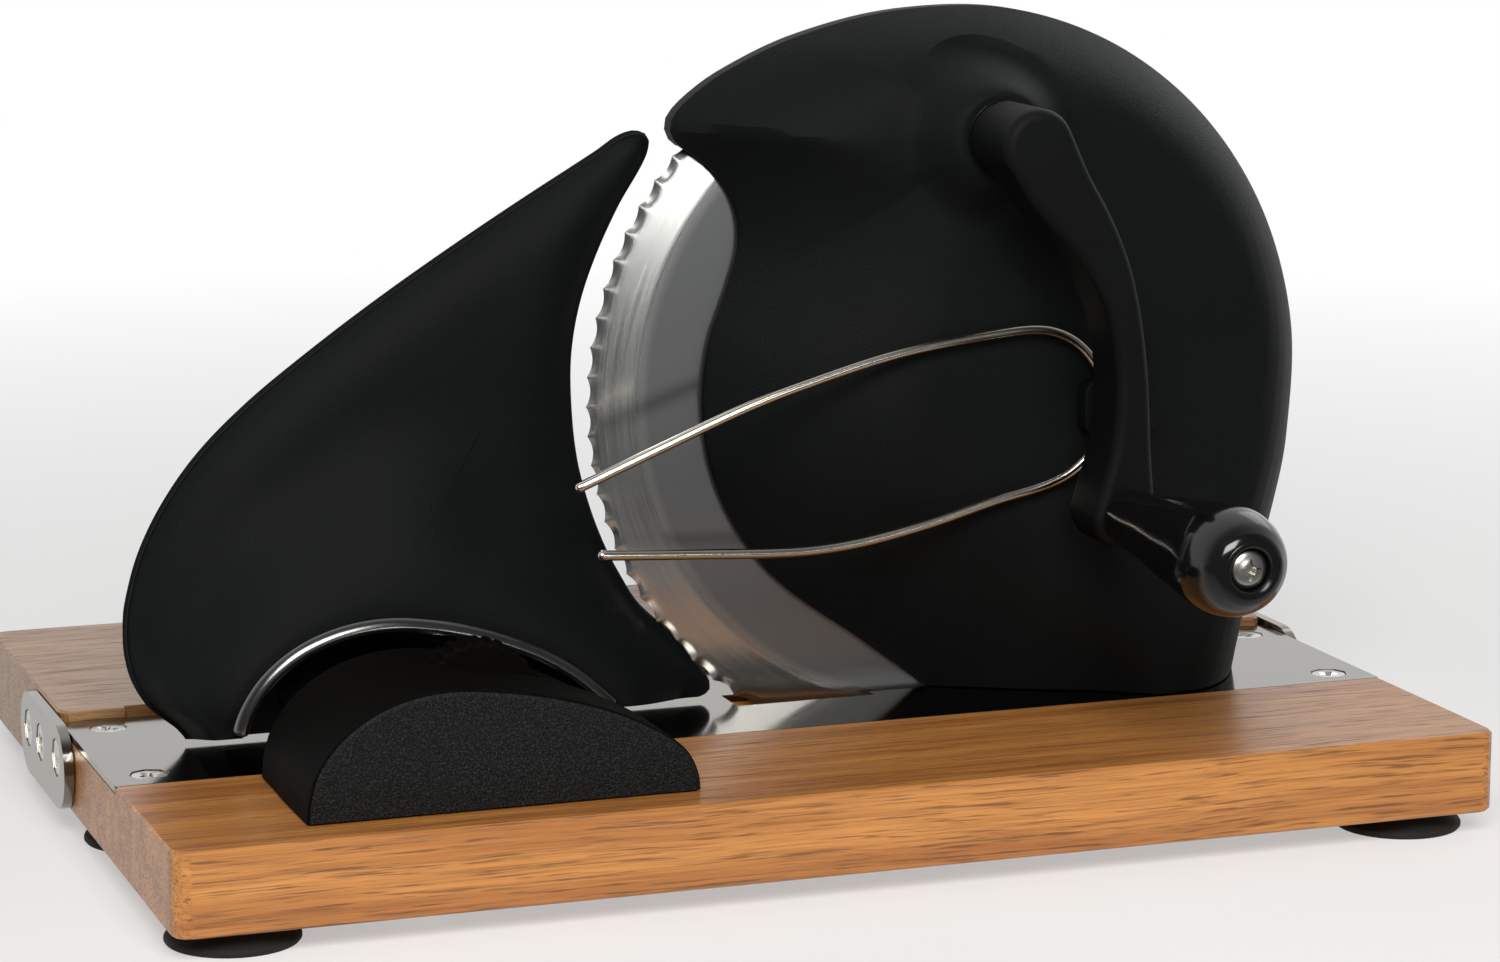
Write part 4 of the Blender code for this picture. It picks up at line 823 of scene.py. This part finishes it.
def buildHousing():
    outline = housingOutline()
    back = shell["back"]
    edge = offsetOutline(evenPoints(outline, shell["pitch"]), -shell["shrink"])
    shares = [0, 0.008, 0.02, 0.035, 0.055, 0.08, 0.11, 0.15, 0.19, 0.24, 0.3, 0.37, 0.45, 0.54, 0.64, 0.76,
              0.88, 1]
    rings = housingRings(outline, edge, shares, 0)
    centre = Vector((blade["x"], crankZ))
    boss = []
    top = shell["topDeep"] + shell["bossHigh"]
    for row in range(1, 11):
        share = row / 10
        ring = []
        for x, y, z in rings[-1]:
            spoke = Vector((x, z)) - centre
            radius = spoke.length + (shell["bossTop"] - spoke.length) * share ** 0.85
            spot = centre + spoke.normalized() * radius
            ring.append((spot.x, back - ease(back - y, top, share), spot.y))
        boss.append(ring)
    rear = [(x, back - 0.5, z) for x, y, z in rings[0]]
    lip = [(p.x, back, p.y) for p in offsetOutline([Vector((x, z)) for x, y, z in rings[0]], -0.5)]
    housing = newPiece("housingShell", loftRings([lip, rear] + rings + boss), shellBlack)

    # Hollow for the gears, which leaves posts for the screws and the blade's bush
    innerEdge = offsetOutline(evenPoints(outline, 6), -shell["wall"])
    inner = housingRings(outline, innerEdge, (0, 0.05, 0.12, 0.25, 0.5, 1), shell["wall"])
    inner = [[(x, max(y, -39), z) for x, y, z in ring] for ring in inner]
    cavity = newPiece("cavity", loftRings([[(x, back + 5, z) for x, y, z in inner[0]]] + inner))
    for x, z in coverScrews:
        boreOut(cavity, 4.5, 34, (x, shell["coverSeat"] - 17, z))
    boreOut(cavity, 9.5, 34, (blade["x"], -27.1 - 17, blade["z"]))
    for x in shell["screwX"]:
        boreOut(cavity, 4.6, 34, (x, shell["screwY"], 0), Matrix.Identity(4))
    seatLine = [(blade["x"] + p.x, blade["z"] + p.y) for p in offsetOutline(evenPoints(outline, 5), 0.3 - 5.5)]
    seat = newPiece("seat", slabOf(seatLine, shell["coverSeat"], -16.5))
    for space in (cavity, seat):
        cutBelow(space, shell["bottom"] + shell["wall"])
        cutWith(housing, space)
    boreOut(housing, 6.3, 60, (blade["x"], -10.25, blade["z"]), steps=40)
    boreOut(housing, 7.2, 40, (blade["x"], -49.5, crankZ), steps=40)
    boreOut(housing, blade["radius"] + 1, 40, (blade["x"], shell["recess"] + 20, blade["z"]), steps=240)
    boreOut(housing, 1.7, 9, (85, -41.8, 67.3), steps=24)
    cutBelow(housing, shell["bottom"])
    for x in shell["screwX"]:
        boreOut(housing, 2.4, 28, (x, shell["screwY"], 0), Matrix.Identity(4))
    for x, z in coverScrews:
        boreOut(housing, 1.7, 14, (x, -21, z), steps=24)
    smoothPiece(housing, 32)
    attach(housing, "base")
    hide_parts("housing")


buildHousing()
print("housing made")

# Crank arm, washer and knob
crank = {"radius": 84.2, "angle": math.radians(14.7), "armBack": -50.8, "armFront": -70.8, "armDeep": 15.0,
         "hub": 8.2, "end": 7.5, "knobBack": -71.1}
knobX = blade["x"] + crank["radius"] * math.sin(crank["angle"])
knobZ = crankZ - crank["radius"] * math.cos(crank["angle"])


def armOutline(grow):
    # Share of the way from hub to knob, distance from the straight line and half width
    middles = [
        (0.0, 0.0, 8.2), (0.122, 2.75, 7.4), (0.253, 7.1, 6.0), (0.363, 9.6, 4.9), (0.464, 10.5, 4.1),
        (0.565, 10.1, 3.8), (0.688, 8.5, 3.9), (0.837, 5.0, 4.8), (1.0, 0.0, 7.5)]
    down = Vector((math.sin(crank["angle"]), -math.cos(crank["angle"])))
    side = Vector((math.cos(crank["angle"]), math.sin(crank["angle"])))
    path = smoothLine([Vector((t * crank["radius"], off, half)) for t, off, half in middles], 6)
    right = []
    left = []
    for i, here in enumerate(path):
        before = path[max(i - 1, 0)]
        after = path[min(i + 1, len(path) - 1)]
        run = Vector((after.x - before.x, after.y - before.y)).normalized()
        normal = Vector((-run.y, run.x))
        for edge, sign in ((right, 1), (left, -1)):
            spot = Vector((here.x, here.y)) + normal * sign * (here.z + grow)
            edge.append(down * spot.x + side * spot.y)
    start = math.degrees(math.atan2(right[0].y, right[0].x))
    top = arcPoints(0, 0, crank["hub"] + grow, start, start + 180, 20)
    endX = knobX - blade["x"]
    endZ = knobZ - crankZ
    last = left[-1] - Vector((endX, endZ))
    start = math.degrees(math.atan2(last.y, last.x))
    bottom = arcPoints(endX, endZ, crank["end"] + grow, start, start + 180, 20)
    return top[:-1] + left[:-1] + bottom[:-1] + list(reversed(right[1:]))


def buildCrank():
    front = crank["armFront"]
    back = front + crank["armDeep"]
    steps = [(back, -1.4), (back - 0.25, -0.75), (back - 0.8, -0.25), (back - 1.6, 0.0), (front + 2.2, 0.0),
             (front + 1.2, -0.35), (front + 0.5, -0.95), (front + 0.12, -1.7), (front, -2.6)]
    rings = [[(blade["x"] + p.x, y, crankZ + p.y) for p in armOutline(grow)] for y, grow in steps]
    arm = newPiece("crankArm", loftRings(rings), armBlack)
    foot = (blade["x"], crank["armBack"], crankZ)
    wide = crank["hub"]
    profile = [(0, 19), (6.5, 19), (7.4, 18.7), (8.0, 18.0), (wide, 17.2), (wide, 0.6), (7.8, 0.1), (7.4, 0),
               (0, 0)]
    cutWith(arm, putAt(newPiece("hub", turnedMesh(profile, 64)), foot, frontTurn), "UNION")
    boreOut(arm, 5.3, 33.6, foot)
    boreOut(arm, 2.7, 24, (knobX, front, knobZ))
    smoothPiece(arm, 40)
    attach(arm, "crank")
    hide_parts("crank_arm")
    dressNode("crank_washer", glossBlack, 0.12)


def buildKnob():
    shape = [(5.4, 0.0), (6.1, 1.2), (7.6, 15.0), (9.1, 26.0), (10.4, 37.0), (11.5, 46.0), (11.7, 50.0),
             (11.1, 54.0), (9.6, 57.6), (7.4, 60.1)]
    line = smoothLine([Vector(p) for p in reversed(shape)], 5)
    outside = [(p.x - 0.02, p.y) for p in line[:-1]] + [(5.6, 0.3), (5.2, 0.05)]
    mouth = [(4.5, 57.8), (4.5, 60.0), (4.7, 60.5), (5.3, 60.85), (6.3, 60.7)]
    profile = mouth + outside + [(2.7, 0), (2.7, 57.8)]
    knob = putAt(newPiece("crankKnob", turnedMesh(profile, 96, True), glossBlack),
                 (knobX, crank["knobBack"], knobZ), frontTurn)
    applyAll(knob)
    smoothPiece(knob, 40)
    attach(knob, "knob")
    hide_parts("crank_knob")


def buildKnobScrew():
    front = crank["armFront"]
    profile = [(0, 60.5), (1.6, 60.45), (2.9, 60.2), (3.7, 59.8), (4.1, 59.3), (4.2, 58.9), (4.2, 58.5),
               (2.4, 58.5), (2.4, -10.6), (1.8, -11.3), (0, -11.4)]
    screw = putAt(newPiece("knobScrew", turnedMesh(profile, 64), screwSteel),
                  (knobX, front, knobZ), frontTurn)
    applyAll(screw)
    cross = []
    for k in range(48):
        a = 2 * math.pi * k / 48
        reach = 1.15 + 1.25 * max(0, math.cos(4 * a)) ** 1.5 + 0.35 * max(0, math.cos(4 * a + math.pi)) ** 3
        cross.append((knobX + reach * math.cos(a), knobZ + reach * math.sin(a)))
    cutWith(screw, newPiece("recess", slabOf(cross, front - 62, front - 58.9)))
    smoothPiece(screw, 35)
    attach(screw, "crank")
    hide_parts("knob_screw")


buildCrank()
buildKnob()
buildKnobScrew()
print("crank made")

# Slice guard: a bent wire held by a clamp
guard = {"radius": 1.14, "sides": 24, "front": 45.4, "back": 43.9, "left": -46.7, "right": 78.6}


def buildGuard():
    left, right = guard["left"], guard["right"]
    middles = [
        (left, 56.3), (-27.5, 64.0), (-9.2, 71.2), (4.6, 75.7), (27.9, 81.7), (51.5, 84.9), (63.0, 85.2),
        (70.5, 82.2), (76.0, 76.0), (right, 67.3), (76.0, 58.6), (70.5, 53.2), (64.0, 50.3), (52.0, 47.6),
        (35.2, 43.2), (18.7, 40.1), (4.7, 39.2), (-18.4, 40.3), (-42.0, 41.7)]
    points = []
    for x, z in middles:
        share = (right - x) / (right - left)
        points.append(Vector((x, -(guard["back"] + (guard["front"] - guard["back"]) * share), z)))
    line = smoothLine(points, 8)
    line[0] = line[0].lerp(line[1], 0.5)
    line[-1] = line[-1].lerp(line[-2], 0.5)
    wire = newPiece("guardWire", tubeMesh(line, guard["radius"], guard["sides"]), wireSteel)
    smoothPiece(wire, 50, False)
    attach(wire, "base")
    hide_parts("slice_guard")
    dressNode("guard_clamp", shellBlack, 0.25)


buildGuard()

# Guide block with its thickness wheel and threaded rod
block = {"left": -117.5, "front": -91.0, "back": -48.5, "screwX": -92, "screwY": (-84, -52), "pocket": 14.0}
wheel = {"x": -74.0, "y": -62.0, "z": 16.0, "radius": 13.45, "ribs": 30, "bore": 3.3}
# Where the threaded rod and the two guide rods run, with their radii
rods = ((-74, 16, 3.0), (-103, 10, 2.5), (-53, 8, 2.5))


def blockTop(steps, blunt):
    # The right end is blunt on the front face, and slimmer where it enters the mouth
    front = (84.0, 0.3), (83.5, 3.9), (81.2, 8.6), (76.0, 12.9), (64.0, 18.9), (49.5, 23.2)
    inner = (84.0, 0.3), (81.4, 3.3), (78.5, 6.2), (71.5, 12.3), (62.1, 17.9), (49.5, 22.6)
    points = [Vector(b).lerp(Vector(a), blunt) for a, b in zip(front, inner)]
    points += [Vector((x + slim * (1 - blunt), z)) for x, z, slim in (
        (36.5, 25.3, 0), (28.5, 25.6, 0), (20.5, 24.3, 0.1), (13.0, 21.3, 0.2), (6.5, 16.4, 0.3),
        (2.2, 10.5, 0.4), (0.5, 5.0, 0.4), (0.0, 0.3, 0.4))]
    return smoothLine([Vector((block["left"], 0)) + p for p in points], steps)


def buildBlock():
    centre = Vector((-78, 6))
    rings = []
    front, back = block["front"], block["back"]
    steps = [(front, 1.5), (front + 0.12, 0.95), (front + 0.45, 0.45), (front + 0.95, 0.12), (front + 1.6, 0)]
    steps += [(y, 0) for y in (-72, -68, -64, -60, -56)]
    steps += [(back - 2, 0), (back - 0.8, 0.1), (back - 0.2, 0.4), (back, 1.0)]
    for y, shrink in steps:
        ring = []
        for p in blockTop(6, 1 - ease(0, 1, (y + 72) / 16)):
            spot = p - (p - centre).normalized() * shrink
            ring.append((spot.x, y, max(spot.y, 0.3)))
        rings.append(ring)
    body = newPiece("guideBlock", loftRings(rings), blockSideOakReflection)
    boreOut(body, block["pocket"], 9.0, (wheel["x"], wheel["y"], wheel["z"]), steps=72)
    for x, z, radius in rods:
        boreOut(body, radius + 0.5, 45.3, (x, -75.7 + 20.05, z))
    for y in block["screwY"]:
        boreOut(body, 2.4, 14, (block["screwX"], y, 0), Matrix.Identity(4))
    body.data.materials.append(blockFace)
    for face in body.data.polygons:
        rearmost = max(body.data.vertices[v].co.y for v in face.vertices)
        if rearmost < (front + 0.5 + shift.y) / 1000:
            face.material_index = 1
    smoothPiece(body, 40)
    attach(body, "base")
    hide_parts("guide_block")


def buildWheel():
    outline = []
    for i in range(wheel["ribs"]):
        for share, dip in ((0, 0.1), (0.12, 0), (0.4, 0), (0.52, 0.1), (0.62, 0.5), (0.9, 0.5)):
            a = 2 * math.pi * (i + share) / wheel["ribs"]
            reach = wheel["radius"] - dip
            outline.append(Vector((reach * math.cos(a), reach * math.sin(a))))
    rings = []
    for y, shrink in ((-4, 0.8), (-3.75, 0.3), (-3.2, 0.0), (3.2, 0.0), (3.75, 0.3), (4, 0.8)):
        rings.append([(wheel["x"] + p.x - p.normalized().x * shrink, wheel["y"] + y,
                       wheel["z"] + p.y - p.normalized().y * shrink) for p in outline])
    knurled = newPiece("thicknessWheel", loftRings(rings), blockSideOakReflection)
    boreOut(knurled, wheel["bore"], 30, (wheel["x"], wheel["y"], wheel["z"]))
    smoothPiece(knurled, 35)
    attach(knurled, "thickness_wheel_body")
    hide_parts("thickness_wheel")


def buildThreadedRod():
    profile = [(0, 44), (2.2, 44), (2.6, 43.6)]
    down = 43.2
    while down > 4:
        profile += [(3.0, down), (2.62, down - 0.5)]
        down -= 1.0
    profile += [(2.95, down), (2.95, 0), (0, 0)]
    low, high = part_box("threaded_rod")
    rod = newPiece("threadedRod", turnedMesh(profile, 40), screwSteel)
    rod.matrix_world = Matrix.Translation(((low.x + high.x) / 2, high.y, (low.z + high.z) / 2)) @ frontTurn
    applyAll(rod)
    smoothPiece(rod, 30)
    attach(rod, "stop_carriage")
    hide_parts("threaded_rod")


buildBlock()
buildWheel()
buildThreadedRod()
print("guide block made")

# Stop plate: a leaning fin that swells into a hood round the guide block
stop = {"back": -14.9, "rim": 1.6, "fin": 6, "band": 6.5, "mouthFront": -37.2, "mouthGap": 0.9, "land": 4.7,
        "lift": 1.0, "rise": 0.21, "pitch": 1.3, "shrink": 0.15}
bead = {"tall": 1.75, "flat": 1.05, "y": -38.2, "lean": 33, "sides": 32}
# Grid on which the front's rise is evened out: its corner, its step and its numbers of columns and rows
grid = {"x": -146, "z": -30, "step": 2.0, "columns": 72, "rows": 84, "passes": 8}


def stopOutline():
    # Along the blade at a small gap, round the right foot, under the mouth, up the left side to the tip
    middle = Vector((blade["x"], blade["z"]))
    gaps = ((142.5, 5.3), (150, 4.8), (158, 4.8), (165, 5.0), (172, 4.8), (179, 4.1), (187, 3.6), (194, 3.0),
            (201, 2.5), (207, 2.0), (212, 1.6))
    edge = [polar(angle, blade["radius"] + gap) + middle for angle, gap in gaps]
    foot = [(103.1, 15.1), (107.4, 9.4), (109.6, 6.9), (111.0, 4.9), (111.4, 3.4), (110.3, 2.0), (107.0, 0.9)]
    under = [(104, -2), (99, -12), (85, -22), (57.5, -24), (13.5, -24), (-3, -20), (-8.5, -10)]
    side = [(-7.2, 0.2), (-9.4, 3.8), (-12.3, 6.3), (-15.9, 9.6), (-19.0, 15.1), (-20.4, 20.7), (-20.6, 26.3),
            (-20.1, 31.7), (-17.0, 42.4), (-11.5, 53.0), (-3.6, 63.4), (7.3, 73.6), (20.8, 83.8), (35.4, 93.9),
            (51.3, 104.1), (68.1, 114.3), (86.3, 124.9)]
    tip = [(91.0, 127.9), (94.8, 128.9), (97.3, 127.6)]
    rest = [Vector((block["left"] + x, z)) for x, z in foot + under + side + tip]
    return smoothLine(edge + rest, 10, True)


def mouthOutline(grow, drop, steps=6):
    top = blockTop(steps, 0)
    low = Vector((0, -drop))
    return offsetOutline([top[0] + low] + top + [top[-1] + low], grow)


def hoodSpan(angle):
    # How far the hood runs out from the mouth, by the angle round it
    spans = ((-90, 16), (0, 20), (45, 32), (85, 42), (130, 30), (175, 17), (270, 16))
    for (a, spanA), (b, spanB) in zip(spans, spans[1:]):
        if angle <= b:
            return ease(spanA, spanB, (angle - a) / (b - a))
    return spans[-1][1]


def isInside(point, outline):
    inside = False
    for i in range(len(outline)):
        a = outline[i - 1]
        b = outline[i]
        if (a.y > point.y) != (b.y > point.y):
            if point.x < a.x + (b.x - a.x) * (point.y - a.y) / (b.y - a.y):
                inside = not inside
    return inside


def stopSwell(spot, edge, land, deep):
    # How far the front stands before the back: a rounded fin, the mouth's hood and a slanting band below
    fromCentre = spot - Vector((-80, 20))
    degrees = (math.degrees(math.atan2(fromCentre.y, fromCentre.x)) + 90) % 360 - 90
    right = ease(0, 1, 1 - abs(degrees - 30) / 50)
    inward = distanceTo(spot, edge)
    lost = max(0, 1 - inward / (9 + 13 * right))
    fin = stop["rim"] + (stop["fin"] - 1.2 * right) * (1 - lost ** 2)
    far = 0 if isInside(spot, land) else distanceTo(spot, land)
    hood = ease(0, 1, 1 - far / hoodSpan(degrees)) * ease(0, 1, inward / 4.5)
    swell = fin * (1 - hood) + deep * hood
    band = stop["band"] * ease(0, 1, (far - 1) / 6)
    short = min(stop["lift"] + stop["rise"] * swell + band - spot.y, band)
    if short > 0:
        swell -= min(short * 0.93, (swell - stop["rim"]) * 0.75 * ease(0, 1, short / band))
    return swell, inward


def swellMap(edge, land, deep):
    # The same on a grid, evened out with its neighbours, along the rows and the columns by turns
    rows = []
    for j in range(grid["rows"]):
        row = []
        for i in range(grid["columns"]):
            spot = Vector((grid["x"] + i * grid["step"], grid["z"] + j * grid["step"]))
            row.append(stopSwell(spot, edge, land, deep)[0] if isInside(spot, edge) else stop["rim"])
        rows.append(row)
    for half in range(grid["passes"]):
        evened = []
        for row in rows:
            last = len(row) - 1
            evened.append([(row[max(i - 1, 0)] + 2 * middle + row[min(i + 1, last)]) / 4
                           for i, middle in enumerate(row)])
        rows = [list(column) for column in zip(*evened)]
    return rows


def splineWeights(t):
    inner = (3 * t ** 3 - 6 * t * t + 4) / 6
    outer = (1 + 3 * t + 3 * t * t - 3 * t ** 3) / 6
    return (1 - t) ** 3 / 6, inner, outer, t ** 3 / 6


def readMap(rows, spot):
    # Cubic spline through the grid's values
    x = (spot.x - grid["x"]) / grid["step"]
    y = (spot.y - grid["z"]) / grid["step"]
    total = 0
    for j, down in enumerate(splineWeights(y - math.floor(y))):
        row = rows[min(max(math.floor(y) + j - 1, 0), len(rows) - 1)]
        for i, across in enumerate(splineWeights(x - math.floor(x))):
            total += row[min(max(math.floor(x) + i - 1, 0), len(row) - 1)] * across * down
    return total


def buildStopPlate():
    outline = stopOutline()
    centre = Vector((-90, 24))
    coarse = evenPoints(outline, 3)
    land = mouthOutline(stop["mouthGap"] + stop["land"], 1, 3)
    deep = stop["back"] - stop["mouthFront"]
    swells = swellMap(coarse, land, deep)
    edge = offsetOutline(evenPoints(outline, stop["pitch"]), -stop["shrink"])
    # Shares of the way from the edge to the mouth's land, and one ring more well inside the mouth
    shares = [0, 0.006, 0.015, 0.03, 0.05, 0.08, 0.115, 0.15, 0.19, 0.24, 0.29, 0.34, 0.4, 0.46, 0.52, 0.58,
              0.64, 0.7, 0.76, 0.82, 0.88, 0.94, 0.98, 1, 2]
    rings = []
    for share in shares:
        ring = []
        for spoke in [spot - centre for spot in edge]:
            rim = min(reachAlong(centre, math.atan2(spoke.y, spoke.x), land), spoke.length - 0.6)
            radius = spoke.length + (rim - spoke.length) * share if share <= 1 else rim * 0.72
            spot = centre + spoke.normalized() * radius
            swell, inward = stopSwell(spot, coarse, land, deep)
            if share <= 1:
                swell += (readMap(swells, spot) - swell) * ease(0, 1, (inward - 1.5) / 5)
            ring.append((spot.x, stop["back"] - swell, spot.y))
        rings.append(ring)
    rear = [(x, stop["back"] - 0.6, z) for x, y, z in rings[0]]
    inset = offsetOutline([Vector((x, z)) for x, y, z in rings[0]], -0.6)
    lip = [(p.x, stop["back"], p.y) for p in inset]
    plate = newPiece("stopPlate", loftRings([lip, rear] + rings), shellBlack)
    floor = stop["back"] - 2.5
    mouth = slabOf(mouthOutline(stop["mouthGap"], 30), floor, floor - deep - 20)
    cutWith(plate, newPiece("mouth", mouth))
    # The underside rises from the back to the front
    side = [(-80, -60), (80, -60), (80, 0), (-80, 0)]
    ground = newPiece("groundCut", slabOf(side, -200, 100, "X"))
    ground.data.transform(Matrix.Translation(-shift / 1000))
    tilt = Matrix.Rotation(-math.atan(stop["rise"]), 4, "X")
    cutWith(plate, putAt(ground, (0, stop["back"], stop["lift"]), tilt))
    for x, z, radius in rods:
        boreOut(plate, radius + 0.3, 10, (x, -21.2, z))
    # The mouth's wall is glossy
    plate.data.materials.append(glossBlack)
    hollow = mouthOutline(stop["mouthGap"] + 0.05, 30)
    for face in plate.data.polygons:
        x, y, z = face.center * 1000 - shift
        spot = Vector((x, z))
        if y < stop["back"] - 1 and distanceTo(spot, hollow) < 0.2:
            face.material_index = 1
    smoothPiece(plate, 32)
    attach(plate, "stop_carriage")
    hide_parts("stop_plate")


def buildMouthBead():
    # The mouth's rim: a flattened round bar that leans outward, with rounded ends
    low = stop["lift"] + stop["rise"] * (stop["back"] - stop["mouthFront"]) + 1.0
    middle = [p for p in mouthOutline(stop["mouthGap"] + bead["tall"], 7) if p.y > low]
    lean = math.radians(bead["lean"])
    flat = bead["flat"]
    last = len(middle) - 1
    ends = ((0.12, 1.0), (0.5, 0.87), (0.8, 0.6), (0.95, 0.3))
    stations = [(0, size, -past) for size, past in ends] + [(i, 1, 0) for i in range(last + 1)]
    stations += [(last, size, past) for size, past in reversed(ends)]
    rings = []
    for i, size, past in stations:
        along = (middle[min(i + 1, last)] - middle[max(i - 1, 0)]).normalized()
        out = Vector((along.y, 0, -along.x))
        if out.dot(Vector((middle[i].x + 78, 0, middle[i].y))) < 0:
            out = -out
        spot = Vector((middle[i].x + along.x * past * flat, bead["y"], middle[i].y + along.y * past * flat))
        across = out * math.cos(lean) + Vector((0, math.sin(lean), 0))
        facing = out * math.sin(lean) - Vector((0, math.cos(lean), 0))
        ring = []
        for j in range(bead["sides"]):
            a = 2 * math.pi * j / bead["sides"]
            ring.append(spot + (across * bead["tall"] * math.cos(a) + facing * flat * math.sin(a)) * size)
        rings.append(ring)
    rim = newPiece("mouthBead", loftRings(rings), ringBlack)
    smoothPiece(rim, 50, False)
    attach(rim, "stop_carriage")
    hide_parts("mouth_bead")


buildStopPlate()
buildMouthBead()
print("stop plate made")

# Floor, backdrop, lights and camera
studio = {"key": 16.0, "low": 0.9, "rim": 1.3, "world": 0.20, "front": 0.11}
# The photograph's camera: focal length and width in its pixels, film in millimetres, angles and metres
view = {"focal": 4322.9866, "pixels": 1500, "film": 36, "azimuth": -19.7468, "elevation": 10.6156,
        "target": (0.009593, 0.0153, 0.0702536), "away": 0.9870103}


def seenRays(tree):
    # One where the camera looks straight at it or through glass
    path = tree.add("ShaderNodeLightPath")
    seen = tree.math("MAXIMUM", path.outputs["Is Camera Ray"], path.outputs["Is Transmission Ray"])
    return seen, path.outputs["Is Glossy Ray"]


def buildFloor():
    work = bmesh.new()
    bmesh.ops.create_circle(work, cap_ends=True, segments=96, radius=6)
    floor = newPiece("floor", closeMesh(work))
    floor.location = (0, 0, -0.0001)
    material, tree, shader = newMaterial("floorPaper", Roughness=0.9, Specular_IOR_Level=0.1)
    place = tree.place()
    seen, glossy = seenRays(tree)
    seen = tree.math("MAXIMUM", seen, glossy)
    # Far out it glows white, so that it has no horizon, and its near side is dim in reflections
    far = tree.math("MULTIPLY", tree.vector("LENGTH", place), 0.5)
    edge = tree.math("MULTIPLY", seen, tree.ramp(far, ((0.12, 0.45), (0.45, 1.0))))
    near = tree.add("ShaderNodeSeparateXYZ", Vector=place)
    side = tree.ramp(tree.math("ADD", near.outputs["Y"], 0.5), ((0.28, studio["front"]), (0.42, 1.0)))
    dim = tree.mix(glossy, (1.0, 1.0, 1.0), side)
    glow = tree.add("ShaderNodeEmission", Strength=1.0, Color=dim)
    pale = tree.mix(tree.noise(place, 9.0, 2.0), (0.90, 0.90, 0.90), (0.94, 0.94, 0.94))
    tree.feed(shader, "Base Color", tree.mix(1.0, pale, dim, "MULTIPLY"))
    mixer = tree.add("ShaderNodeMixShader", Fac=edge)
    tree.feed(mixer, "1", shader.outputs[0])
    tree.feed(mixer, "2", glow.outputs[0])
    tree.feed(tree.tree.nodes["Material Output"], "Surface", mixer.outputs[0])
    floor.data.materials.append(material)


def buildWorld():
    # White to the camera, and in reflections dim on the camera's side
    world = bpy.data.worlds.new("studio")
    bpy.context.scene.world = world
    world.use_nodes = True
    tree = Tree(world.node_tree)
    world.node_tree.nodes.clear()
    seen, glossy = seenRays(tree)
    coords = tree.tree.nodes.new("ShaderNodeTexCoord")
    facing = tree.add("ShaderNodeSeparateXYZ", Vector=coords.outputs["Generated"])
    ahead = tree.add("ShaderNodeMapRange", Value=facing.outputs["Y"], From_Min=-0.5, From_Max=0.3,
                     To_Min=studio["front"], To_Max=1.0)
    ahead.interpolation_type = "SMOOTHSTEP"
    strength = tree.mix(glossy, (studio["world"],) * 3, ahead.outputs["Result"])
    strength = tree.mix(seen, strength, (1.0, 1.0, 1.0))
    back = tree.add("ShaderNodeBackground", Color=strength, Strength=1.0)
    tree.add("ShaderNodeOutputWorld", Surface=back.outputs[0])


def addArea(name, place, target, width, height, power, colour):
    light = bpy.data.lights.new(name, "AREA")
    light.shape = "RECTANGLE"
    light.size = width
    light.size_y = height
    light.energy = power
    light.color = colour
    lamp = bpy.data.objects.new(name, light)
    bpy.context.scene.collection.objects.link(lamp)
    lamp.location = place
    lamp.rotation_mode = "QUATERNION"
    lamp.rotation_quaternion = (Vector(target) - Vector(place)).to_track_quat("-Z", "Y")
    lamp.visible_camera = False


def buildCamera():
    camera = bpy.data.cameras.new("camera")
    camera.sensor_width = view["film"]
    camera.sensor_fit = "HORIZONTAL"
    camera.lens = view["focal"] / view["pixels"] * view["film"]
    camera.clip_start = 0.01
    camera.clip_end = 50
    viewer = bpy.data.objects.new("camera", camera)
    bpy.context.scene.collection.objects.link(viewer)
    turn, up = math.radians(view["azimuth"]), math.radians(view["elevation"])
    back = Vector((math.sin(turn) * math.cos(up), -math.cos(turn) * math.cos(up), math.sin(up)))
    viewer.location = Vector(view["target"]) + back * view["away"]
    viewer.rotation_mode = "QUATERNION"
    viewer.rotation_quaternion = (-back).to_track_quat("-Z", "Y")
    bpy.context.scene.camera = viewer


buildFloor()
buildWorld()
addArea("key", (-0.30, -1.05, 0.80), (0.0, -0.03, 0.07), 0.75, 0.5, studio["key"], (1.0, 0.97, 0.93))
addArea("low", (0.28, -1.25, 0.16), (0.02, 0, 0.09), 0.22, 0.14, studio["low"], (1.0, 0.98, 0.95))
addArea("rim", (0.9, 0.55, 0.75), (0, 0, 0.07), 0.6, 0.6, studio["rim"], (0.92, 0.97, 1.0))
buildCamera()
bpy.context.scene.view_settings.view_transform = "Standard"
print("stage made")

bpy.context.view_layer.update()
